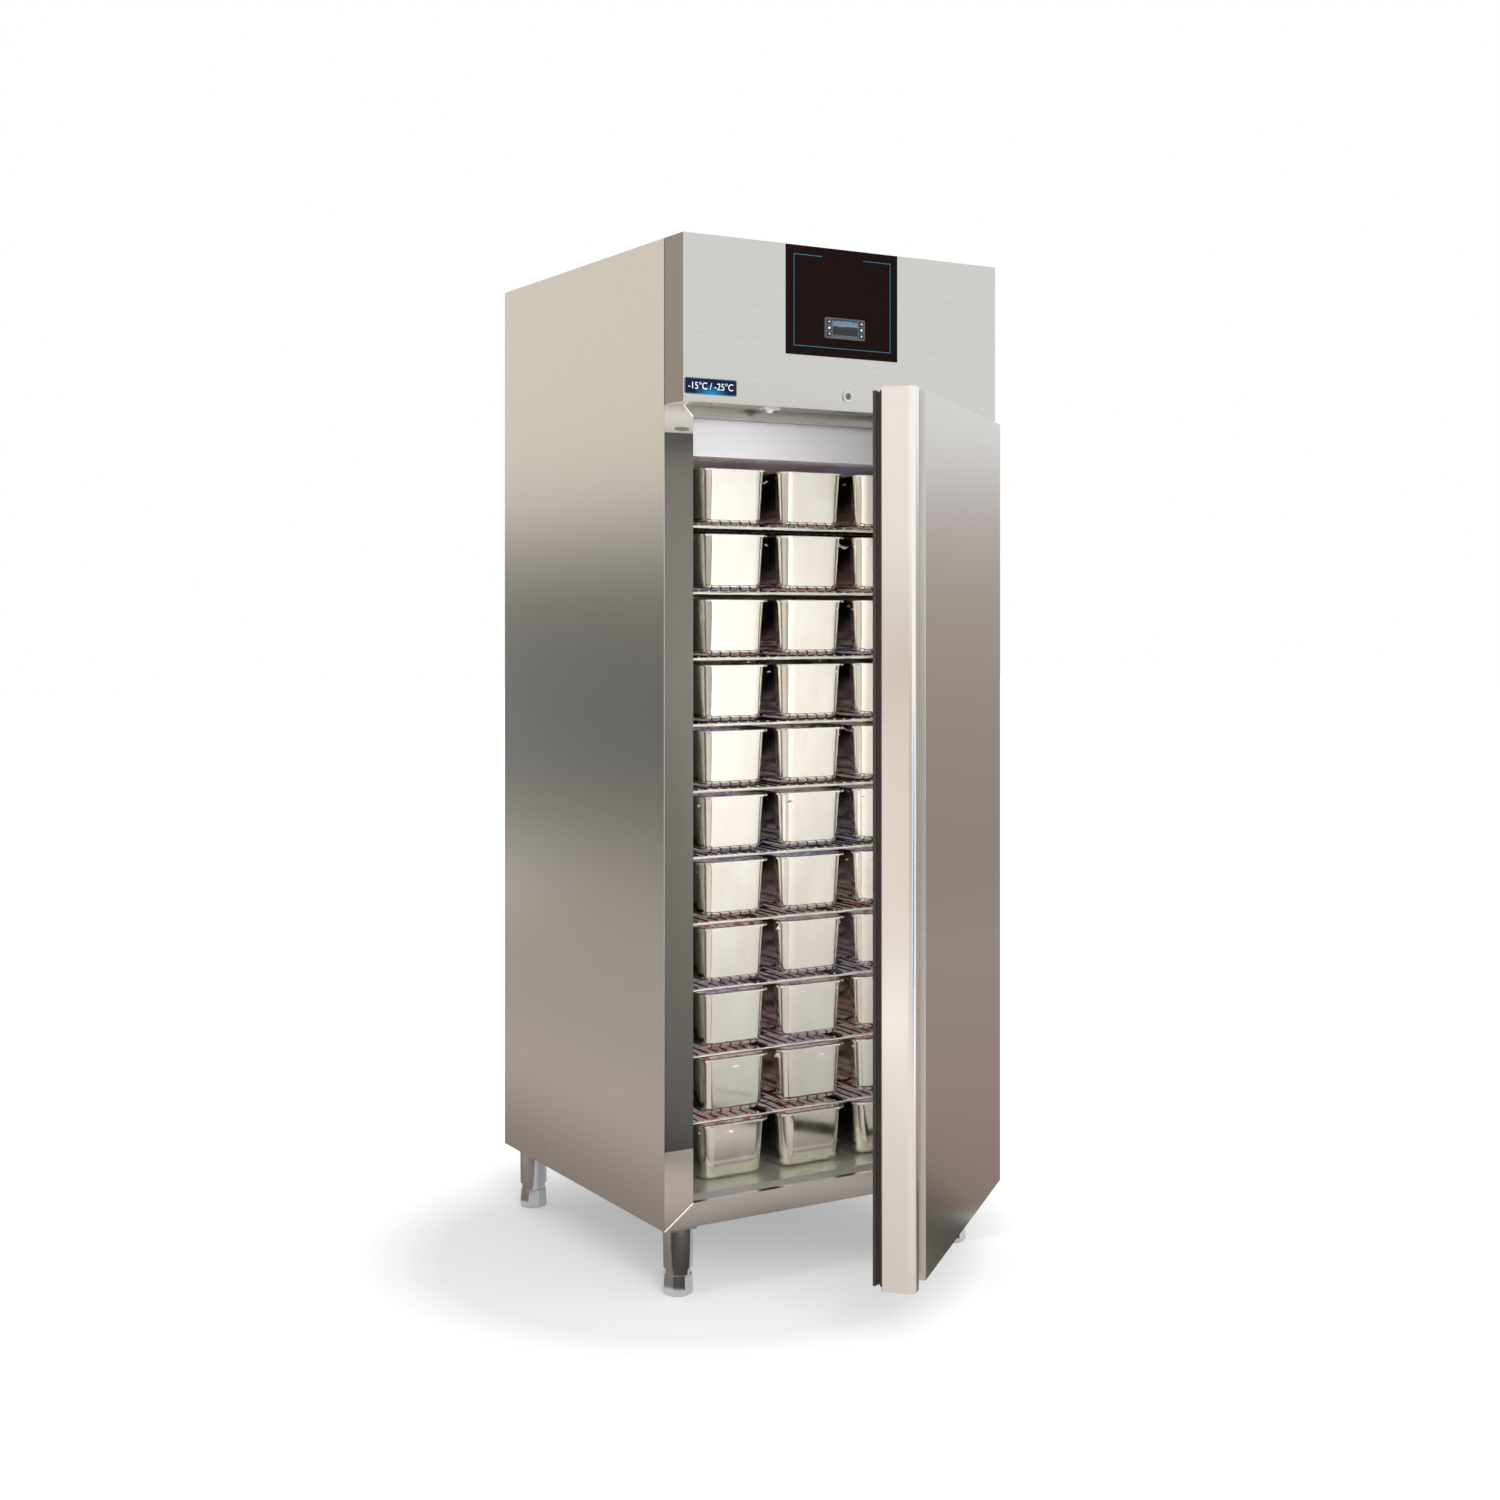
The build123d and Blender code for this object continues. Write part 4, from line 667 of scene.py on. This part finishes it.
class FreezerDressControls(bpy.types.Operator):
    """Finish the control glass, the display and the temperature label"""

    bl_idname = "freezer.dress_controls"
    bl_label = "Control glass and display"

    def execute(self, context):
        trim = context.scene.freezer_trim
        dress(glossy_enamel("Glass_back_printed_dark", trim.glass_tone, 0.08, 0.02), "control_glass")
        dress(glowing_label(trim.label_tone, trim.glow_tone), "temperature_label")
        dress(display_picture(), "controller_screen")
        return {"FINISHED"}


def row_step(trim):
    """Distance between two rows of pans, from the shelves' own spacing."""
    low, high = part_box("wire_shelves")
    shelf_height = 2 * CAD_BAR_RADIUS + 2 * trim.wire_radius - trim.weld_overlap
    return (high.z - low.z - shelf_height) / (SHELVES - 1)


class FreezerWireShelves(bpy.types.Operator):
    """Model the chrome plated wire shelves: bent bar frames with round wires and two rods under them"""

    bl_idname = "freezer.wire_shelves"
    bl_label = "Wire shelves"

    def bar_loop(self, low, high, trim, height):
        """The bar frame: a rounded rectangle made a curve, then a round bar."""
        radius = trim.bar_radius
        width = high.x - low.x - 2 * radius
        depth = high.y - low.y - 2 * radius
        deselect()
        middle = ((low.x + high.x) / 2, (low.y + high.y) / 2, height)
        bpy.ops.mesh.primitive_plane_add(size=1, location=middle)
        loop = bpy.context.object
        loop.scale = (width, depth, 1)
        bpy.ops.object.transform_apply(location=False, rotation=False)
        edit_all()
        bpy.ops.mesh.bevel(offset=trim.shelf_corner, segments=5, affect="VERTICES")
        bpy.ops.mesh.select_all(action="SELECT")
        bpy.ops.mesh.delete(type="ONLY_FACE")
        leave_edit()
        bpy.ops.object.convert(target="CURVE")
        loop.data.bevel_depth = radius
        loop.data.bevel_resolution = 2
        bpy.ops.object.convert(target="MESH")
        return bpy.context.object

    def rod(self, start, end, radius, sides):
        """A round rod between two points."""
        run = Vector(end) - Vector(start)
        deselect()
        bpy.ops.mesh.primitive_cylinder_add(
            vertices=sides, radius=radius, depth=run.length, location=(Vector(start) + Vector(end)) / 2
        )
        rod = bpy.context.object
        rod.rotation_euler = run.to_track_quat("Z", "Y").to_euler()
        return rod

    def execute(self, context):
        trim = context.scene.freezer_trim
        low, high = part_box("wire_shelves")
        bar = trim.bar_radius
        wire = trim.wire_radius
        bar_height = low.z + 2 * CAD_BAR_RADIUS - bar
        wire_height = bar_height + bar + wire - trim.weld_overlap
        half = (high.x - low.x) / 2 - bar
        count = int((2 * half - trim.wire_spacing) / trim.wire_spacing)
        pieces = [self.bar_loop(low, high, trim, bar_height)]
        for index in range(count):
            x = (index - (count - 1) / 2) * trim.wire_spacing
            start = (x, low.y + bar, wire_height)
            end = (x, high.y - bar, wire_height)
            pieces.append(self.rod(start, end, wire, 8))
        third = (high.y - low.y) / 3
        rod_height = wire_height - wire - trim.rod_radius + trim.weld_overlap
        for y in (low.y + third, low.y + 2 * third):
            pieces.append(self.rod((-half, y, rod_height), (half, y, rod_height), trim.rod_radius, 10))
        shelf = join(pieces, "plated_wire_shelves")
        smooth(shelf)
        repeat(shelf, SHELVES, (0, 0, row_step(trim)))
        plated = rolled_steel("Steel_wire_chrome_plated", "#dfddd6", "#cfcdc6", 0.14, 0.03)
        behind_front_bar = low.y + 2 * CAD_BAR_RADIUS
        tone_region(plated, "Y", "GREATER_THAN", behind_front_bar, trim.wire_tone)
        settle(shelf, "plated_wire_shelves", "cabinet", plated)
        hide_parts("wire_shelves")
        return {"FINISHED"}


class FreezerIceCream(bpy.types.Operator):
    """Model the ice cream: hard lumps, scooped almost level with the rim of every pan"""

    bl_idname = "freezer.ice_cream"
    bl_label = "Ice cream"

    columns = 3
    rows = 11
    lump_squares = (21, 46)
    wall_gap = 0.003
    corner_cut = 0.017
    sunk = 0.011
    mid_level = 0.4
    lump_angle = 50
    cell_front = -1
    cell_depth = 10

    def lumpy_layer(self, low, width, length, top):
        """The lowest left pan's top layer, flat as yet, with its corners cut off."""
        deselect()
        bpy.ops.mesh.primitive_grid_add(
            x_subdivisions=self.lump_squares[0],
            y_subdivisions=self.lump_squares[1],
            size=1,
            location=(low.x + width / 2, low.y + length / 2, top),
        )
        layer = bpy.context.object
        layer.scale = (width - 2 * self.wall_gap, length - 2 * self.wall_gap, 1)
        bpy.ops.object.transform_apply()
        half = Vector((width / 2 - self.wall_gap, length / 2 - self.wall_gap, 0))
        middle = Vector((low.x + width / 2, low.y + length / 2, top))
        bpy.ops.object.mode_set(mode="EDIT")
        for side_x, side_y in ((1, 1), (1, -1), (-1, 1), (-1, -1)):
            corner = middle + Vector((side_x * (half.x - self.corner_cut), side_y * half.y, 0))
            bpy.ops.mesh.select_all(action="SELECT")
            bpy.ops.mesh.bisect(plane_co=corner, plane_no=(side_x, side_y, 0), clear_outer=True)
        leave_edit()
        return layer

    def execute(self, context):
        trim = context.scene.freezer_trim
        low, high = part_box("ice_cream_fillings")
        pan_low, pan_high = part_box("ice_cream_pans")
        pitch = (pan_high.x - pan_low.x + trim.pan_gap) / self.columns
        step = row_step(trim)
        width = high.x - low.x - (self.columns - 1) * pitch
        layer = self.lumpy_layer(low, width, high.y - low.y, high.z - (self.rows - 1) * step)
        repeat(layer, self.columns, (pitch, 0, 0))
        repeat(layer, self.rows, (0, 0, step))
        lumps = bpy.data.textures.new("ice_cream_lumps", "CLOUDS")
        lumps.noise_scale = trim.lump_size
        lumps.noise_depth = 1
        apply_modifier(
            layer, "DISPLACE", texture=lumps, direction="Z", strength=trim.lump_rise, mid_level=self.mid_level
        )
        apply_modifier(layer, "SOLIDIFY", thickness=self.sunk, offset=-1)
        filling = only(nodes["ice_cream_fillings"])
        bpy.ops.object.duplicate()
        filling = recalculate(bpy.context.object)
        cream = join([filling, layer], "ice_cream")
        smooth(cream, self.lump_angle)
        start = (pan_low.x - trim.pan_gap / 2, self.cell_front, pan_low.z)
        flavours = frozen_cream(start, (pitch, self.cell_depth, step), trim.lump_size, trim.cream_glow)
        settle(cream, "ice_cream", "cabinet", flavours)
        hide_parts("ice_cream_fillings")
        return {"FINISHED"}


class FreezerFrameDetails(bpy.types.Operator):
    """Model the polished weld lines across the frame's mitred corners and the oval plug in its left stile"""

    bl_idname = "freezer.frame_details"
    bl_label = "Frame weld lines and plug"

    proud = 0.0002
    plug_place = (-0.3307, 1.6766)
    plug_size = (0.034, 0.008)

    def weld(self, outer, inner, front, width):
        """One flat bead from the frame's outer corner to the opening's corner."""
        run = inner - outer
        deselect()
        middle_x = (outer.x + inner.x) / 2
        middle_z = (outer.z + inner.z) / 2
        bpy.ops.mesh.primitive_cube_add(size=1, location=(middle_x, front, middle_z))
        bead = bpy.context.object
        bead.scale = (run.length, 2 * self.proud, width)
        bead.rotation_euler = (0, -math.atan2(run.z, run.x), 0)
        bpy.ops.object.transform_apply(location=False)
        return apply_modifier(bead, "BEVEL", width=self.proud / 2, segments=1)

    def plug(self, front):
        """A flat oval plug, just proud of the stile."""
        deselect()
        x, z = self.plug_place
        bpy.ops.mesh.primitive_cylinder_add(
            vertices=32, radius=0.5, depth=1, location=(x, front, z), rotation=(math.pi / 2, 0, 0)
        )
        plug = bpy.context.object
        plug.scale = (self.plug_size[0], self.plug_size[1], 2 * self.proud)
        bpy.ops.object.transform_apply(location=False)
        return smooth(apply_modifier(plug, "BEVEL", width=self.proud / 2, segments=2))

    def execute(self, context):
        trim = context.scene.freezer_trim
        steel = context.scene.freezer_steel
        stile_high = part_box("frame_stiles")[1]
        rail_low, rail_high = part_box("frame_rails")
        beads = []
        for side in (-1, 1):
            for outer_z, inner_z in ((rail_low.z, trim.opening_low), (rail_high.z, trim.opening_high)):
                outer = Vector((side * stile_high.x, 0, outer_z))
                inner = Vector((side * trim.opening_half, 0, inner_z))
                beads.append(self.weld(outer, inner, rail_low.y, trim.weld_width))
        polished = rolled_steel(
            "Stainless_steel_polished_weld", "#f2efe9", steel.handle_tone, 0.3, 0.02, 0.2
        )
        settle(join(beads, "frame_welds"), "frame_welds", "cabinet", polished)
        cap = moulded_plastic("Polyethylene_moulded_plug", "#5d5a57", "#53504e", 0.4, 0.002)
        settle(self.plug(rail_low.y), "stile_plug", "cabinet", cap)
        return {"FINISHED"}


class FreezerGlassPrint(bpy.types.Operator):
    """Model the thin printed line round the control glass, open at its top"""

    bl_idname = "freezer.glass_print"
    bl_label = "Glass print"

    gap_low = -0.059
    gap_high = 0.038
    thickness = 0.0002

    def execute(self, context):
        trim = context.scene.freezer_trim
        low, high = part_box("control_glass")
        inset = trim.line_inset
        width = high.x - low.x - 2 * inset
        height = high.z - low.z - 2 * inset
        middle = ((low.x + high.x) / 2, low.y - self.thickness / 2, (low.z + high.z) / 2)
        deselect()
        bpy.ops.mesh.primitive_plane_add(size=1, location=middle, rotation=(math.pi / 2, 0, 0))
        line = bpy.context.object
        line.scale = (width, height, 1)
        bpy.ops.object.transform_apply()
        edit_all()
        bpy.ops.mesh.inset(thickness=trim.line_width, depth=0)
        bpy.ops.mesh.delete(type="FACE")
        for x in (self.gap_low, self.gap_high):
            bpy.ops.mesh.select_all(action="SELECT")
            bpy.ops.mesh.bisect(plane_co=(x, 0, 0), plane_no=(1, 0, 0))
        bpy.ops.mesh.select_all(action="DESELECT")
        shape = bmesh.from_edit_mesh(line.data)
        for face in shape.faces:
            centre = face.calc_center_median()
            face.select = self.gap_low < centre.x < self.gap_high and centre.z > middle[2]
        bmesh.update_edit_mesh(line.data)
        bpy.ops.mesh.delete(type="FACE")
        leave_edit()
        apply_modifier(line, "SOLIDIFY", thickness=self.thickness, offset=0)
        ink = printed_ink("Screen_ink_blue", trim.line_tone)
        settle(line, "control_glass_line", "fascia", ink)
        return {"FINISHED"}


class FreezerTemperatureText(bpy.types.Operator):
    """Model the plain temperature numbers printed on the label"""

    bl_idname = "freezer.temperature_text"
    bl_label = "Temperature numbers"

    words = "-15°C / -25°C"
    letter_height = 0.6
    words_share = 0.86
    thinning = 0.0001
    thickness = 0.0002
    corner = 0.004

    def outline(self, low, high, width):
        """The pale line just inside the label's edge."""
        middle = ((low.x + high.x) / 2, low.y, (low.z + high.z) / 2)
        deselect()
        bpy.ops.mesh.primitive_plane_add(size=1, location=middle, rotation=(math.pi / 2, 0, 0))
        line = bpy.context.object
        line.scale = (high.x - low.x - 2 * width, high.z - low.z - 2 * width, 1)
        bpy.ops.object.transform_apply(location=False, rotation=False)
        edit_all()
        bpy.ops.mesh.bevel(offset=self.corner, segments=4, affect="VERTICES")
        bpy.ops.mesh.select_all(action="SELECT")
        bpy.ops.mesh.inset(thickness=width, depth=0)
        bpy.ops.mesh.delete(type="FACE")
        leave_edit()
        return apply_modifier(line, "SOLIDIFY", thickness=self.thickness, offset=0)

    def numbers(self, low, high):
        """The temperatures, as letters of the label's own size made a mesh."""
        middle = ((low.x + high.x) / 2, low.y, (low.z + high.z) / 2)
        deselect()
        bpy.ops.object.text_add(location=middle, rotation=(math.pi / 2, 0, 0))
        text = bpy.context.object
        text.data.body = self.words
        text.data.align_x = "CENTER"
        text.data.align_y = "CENTER"
        text.data.size = self.letter_height * (high.z - low.z)
        text.data.extrude = self.thickness
        text.data.offset = -self.thinning
        bpy.context.view_layer.update()
        text.scale.x = self.words_share * (high.x - low.x) / text.dimensions.x
        only(text)
        bpy.ops.object.convert(target="MESH")
        return recalculate(bpy.context.object)

    def execute(self, context):
        trim = context.scene.freezer_trim
        low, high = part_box("temperature_label")
        white = printed_ink("Screen_ink_white", linear("#dde2e6"))
        pale = printed_ink("Screen_ink_pale_blue", trim.outline_tone)
        settle(self.numbers(low, high), "temperature_numbers", "fascia", white)
        outline = self.outline(low, high, trim.label_border)
        settle(outline, "label_outline", "fascia", pale)
        return {"FINISHED"}


class FreezerKeySigns(bpy.types.Operator):
    """Model the small arrow and bar signs on the controller's keys"""

    bl_idname = "freezer.key_signs"
    bl_label = "Key signs"

    corners = {"top": 3, "middle": 16, "bottom": 3}
    size_share = 0.26
    thickness = 0.0002

    def execute(self, context):
        ink = printed_ink("Screen_ink_white_keys", linear("#dfe3e8"))
        for name in sorted(name for name in nodes if name.startswith("key_")):
            low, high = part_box(name)
            place = name.rsplit("_", 1)[1]
            front = low.y - self.thickness / 2
            deselect()
            bpy.ops.mesh.primitive_circle_add(
                vertices=self.corners[place],
                radius=self.size_share * (high.z - low.z),
                fill_type="NGON",
                location=((low.x + high.x) / 2, front, (low.z + high.z) / 2),
                rotation=(math.pi / 2, math.pi if place == "bottom" else 0, 0),
            )
            sign = bpy.context.object
            apply_modifier(sign, "SOLIDIFY", thickness=self.thickness, offset=0)
            settle(sign, "sign_" + name, name, ink)
        return {"FINISHED"}


# Each card: name, middle, turn in degrees, width and height, then its tones from its lower or near edge
CARDS = (
    (
        "card_left_back", (-2.4, 4.2, 2), (90, 0, 90), (6, 4),
        (
            *((0.0, "#c0b7ad"), (0.07, "#aaa298"), (0.14, "#6b6b67"), (0.35, "#716f6b")),
            *((0.42, "#bdb6ac"), (0.46, "#fdf3e4"), (1.0, "#fdf4e4")),
        ),
    ),
    (
        "card_left_floor", (-1.4, 1.75, 0.002), (0, 0, 90), (6, 2),
        ((0.0, "#8d827a"), (0.16, "#a99d95"), (0.3, "#dccdc1"), (0.45, "#beb5ab"), (1.0, "#c4bbb1")),
    ),
    (
        "card_left_front", (-3.2, -1.6, 2), (90, 0, 90), (5.4, 4),
        ((0.0, "#e2d8cc"), (0.2, "#e6dccf"), (0.3, "#c8bfb4"), (0.38, "#f4ece2"), (1.0, "#ffffff")),
    ),
    (
        "card_front", (-2.0, -4.8, 1.5), (90, 0, 0), (4.6, 3),
        ((0.0, "#dcd6cf"), (0.13, "#bdb6af"), (0.27, "#b5ada6"), (0.41, "#d8d1ca"), (0.52, "#ffffff")),
    ),
    (
        "card_right", (3.2, 1.5, 2), (90, 0, 90), (6, 4),
        (
            *((0.0, "#ae9f98"), (0.1, "#a2948c"), (0.25, "#ab9f97")),
            *((0.35, "#b9aea5"), (0.42, "#cfc6c4"), (0.5, "#fafafa")),
        ),
    ),
    (
        "card_right_floor", (1.9, 0.5, 0.002), (0, 0, -90), (4, 2.6),
        ((0.0, "#9c8981"), (0.5, "#a8968d"), (1.0, "#a89890")),
    ),
    (
        "card_front_floor", (-0.55, -1.9, 0.004), (0, 0, 0), (4.1, 3),
        ((0.0, "#f0e8de"), (0.5, "#e6ddd2"), (0.84, "#d0c9c2"), (0.9, "#6b645d"), (1.0, "#4d4742")),
    ),
    ("card_far_floor", (-1.4, -4.1, 0.003), (0, 0, 0), (5.6, 1.4), ((0.0, "#e6dfd8"), (1.0, "#e6dfd8"))),
    (
        "card_right_front", (1.9, -3.2, 0.5), (90, 0, 0), (2.8, 1),
        ((0.0, "#86a8cc"), (0.6, "#8fb0d2"), (1.0, "#c9d4de")),
    ),
)


class FreezerStudio(bpy.types.Operator):
    """Set up the floor, the soft studio lights, the reflecting cards and the camera"""

    bl_idname = "freezer.studio"
    bl_label = "Studio"

    floor_width = 60
    floor_drop = 0.0005
    # Middle of the floor's painted shadow, and the share of its reach that is full painted shadow.
    painted_shadow_middle = (-0.15, -0.1, 0)
    full_painted_shadow = 0.45

    def seen_directly(self, tree):
        """One where the camera, gloss or clear material sees the surface, nothing for the light it sheds."""
        path = add_node(tree, "ShaderNodeLightPath")
        seen = arithmetic(tree, "MAXIMUM", path.outputs["Is Camera Ray"], path.outputs["Is Glossy Ray"])
        return arithmetic(tree, "MAXIMUM", seen, path.outputs["Is Transmission Ray"])

    def floor(self, settings):
        """A pale floor that the camera sees as white, darkened by the object's own shadow and by a painted
        shadow round the cabinet, where its glow is turned down.
        """
        deselect()
        bpy.ops.mesh.primitive_plane_add(size=self.floor_width, location=(0, 0, -self.floor_drop))
        floor = bpy.context.object
        floor.name = "studio_floor"
        material, tree, shader = new_material("Studio_paper_pale")
        # Painted shadow: the glow falls from the far floor's level to the shade level within a round patch
        # about the cabinet.
        reach = settings.painted_shadow_reach
        shift = [-part / reach for part in self.painted_shadow_middle]
        around = round_gradient(tree, object_pattern(tree, (1 / reach, 1 / reach, 1 / reach), shift))
        level = map_range(tree, around, (0, self.full_painted_shadow), (settings.floor_glow, settings.painted_shadow_glow))
        glow = arithmetic(tree, "MULTIPLY", self.seen_directly(tree), level)
        values = {
            "Emission Color": linear("#ffffff"),
            "Base Color": settings.floor_tone,
            "Roughness": 0.9,
            "Specular IOR Level": 0.1,
        }
        feed(tree, shader, values, {"Emission Strength": glow})
        floor.data.materials.append(material)

    def card(self, name, middle, turn, size, stops):
        """A reflecting card, seen only in gloss, shaded from one edge to the other."""
        deselect()
        bpy.ops.mesh.primitive_plane_add(
            size=1, location=middle, rotation=[math.radians(angle) for angle in turn]
        )
        card = bpy.context.object
        card.name = name
        card.scale = (*size, 1)
        bpy.ops.object.transform_apply()
        material, tree, shader = new_material(name)
        place = add_node(tree, "ShaderNodeTexCoord").outputs["UV"]
        tones = colour_ramp(tree, axis_value(tree, place, "Y"), stops)
        values = {"Emission Strength": 1, "Base Color": linear("#000000"), "Specular IOR Level": 0}
        feed(tree, shader, values, {"Emission Color": tones})
        card.data.materials.append(material)
        card.visible_camera = False
        card.visible_diffuse = False
        card.visible_shadow = False
        card.visible_transmission = False

    def world(self):
        """White for the camera and for gloss, softer for the light that falls on the object."""
        world = bpy.data.worlds.new("Studio_white")
        bpy.context.scene.world = world
        world.use_nodes = True
        tree = world.node_tree
        tree.nodes.clear()
        level = map_range(tree, self.seen_directly(tree), (0, 1), (0.75, 1.0))
        sky = add_node(tree, "ShaderNodeBackground", (), {"Color": (1, 1, 1, 1)}, {"Strength": level})
        add_node(tree, "ShaderNodeOutputWorld", links={"Surface": sky.outputs["Background"]})

    def lamp(self, name, place, target, size, power, spread=180):
        """A soft light of that size, aimed at a point and hidden from the mirroring metal."""
        data = bpy.data.lights.new(name, "AREA")
        data.shape = "RECTANGLE"
        data.size, data.size_y = size
        data.energy = power
        data.spread = math.radians(spread)
        lamp = bpy.data.objects.new(name, data)
        bpy.context.scene.collection.objects.link(lamp)
        lamp.visible_glossy = False
        lamp.location = place
        lamp.rotation_euler = (Vector(target) - Vector(place)).to_track_quat("-Z", "Y").to_euler()

    def camera(self, settings):
        """The camera of the photograph."""
        data = bpy.data.cameras.new("studio_camera")
        data.lens = settings.lens
        data.sensor_width = 36
        data.shift_y = settings.rise
        data.clip_end = 100
        camera = bpy.data.objects.new("studio_camera", data)
        bpy.context.scene.collection.objects.link(camera)
        camera.location = settings.camera_place
        camera.rotation_euler = (math.pi / 2, 0, -settings.camera_turn)
        bpy.context.scene.camera = camera

    def execute(self, context):
        settings = context.scene.freezer_stage
        context.scene.view_settings.view_transform = "Standard"
        self.floor(settings)
        self.world()
        for card in CARDS:
            self.card(*card)
        self.lamp("key_light", (-2.2, -3.2, 3.4), (0, 0, 1.1), (1.8, 1.8), settings.key_power)
        self.lamp("front_light", (-1.1, -3.5, 1.5), (0, -0.3, 0.9), (1.6, 1.6), settings.front_power)
        self.lamp("door_light", (-1.2, -0.5, 1.5), (0.12, -0.6, 1.0), (0.3, 1.2), settings.door_power, 65)
        self.camera(settings)
        return {"FINISHED"}


OPERATORS = (
    FreezerStudio,
    FreezerDressPanels,
    FreezerDressColdSpace,
    FreezerDressPlastics,
    FreezerDressMachine,
    FreezerDressLegs,
    FreezerDressControls,
    FreezerWireShelves,
    FreezerIceCream,
    FreezerFrameDetails,
    FreezerGlassPrint,
    FreezerTemperatureText,
    FreezerKeySigns,
)
GROUPS = (FreezerSteel, FreezerTrim, FreezerStage)


class FreezerPanel(bpy.types.Panel):
    """The freezer's pieces, each with its own button"""

    bl_idname = "FREEZER_PT_pieces"
    bl_label = "Freezer"
    bl_space_type = "VIEW_3D"
    bl_region_type = "UI"
    bl_category = "Freezer"

    def draw(self, context):
        for operator in OPERATORS:
            self.layout.operator(operator.bl_idname)
        for group in (context.scene.freezer_steel, context.scene.freezer_trim, context.scene.freezer_stage):
            box = self.layout.box()
            for name in group.bl_rna.properties.keys():
                if name not in ("rna_type", "name"):
                    box.prop(group, name)


def register():
    for made in (*GROUPS, *OPERATORS, FreezerPanel):
        bpy.utils.register_class(made)
    bpy.types.Scene.freezer_steel = bpy.props.PointerProperty(type=FreezerSteel)
    bpy.types.Scene.freezer_trim = bpy.props.PointerProperty(type=FreezerTrim)
    bpy.types.Scene.freezer_stage = bpy.props.PointerProperty(type=FreezerStage)


def unregister():
    del bpy.types.Scene.freezer_steel
    del bpy.types.Scene.freezer_trim
    del bpy.types.Scene.freezer_stage
    for made in reversed((*GROUPS, *OPERATORS, FreezerPanel)):
        bpy.utils.unregister_class(made)


def main():
    """Build every piece in order."""
    register()
    for operator in OPERATORS:
        group, name = operator.bl_idname.split(".")
        getattr(getattr(bpy.ops, group), name)()


if __name__ == "__main__":
    main()
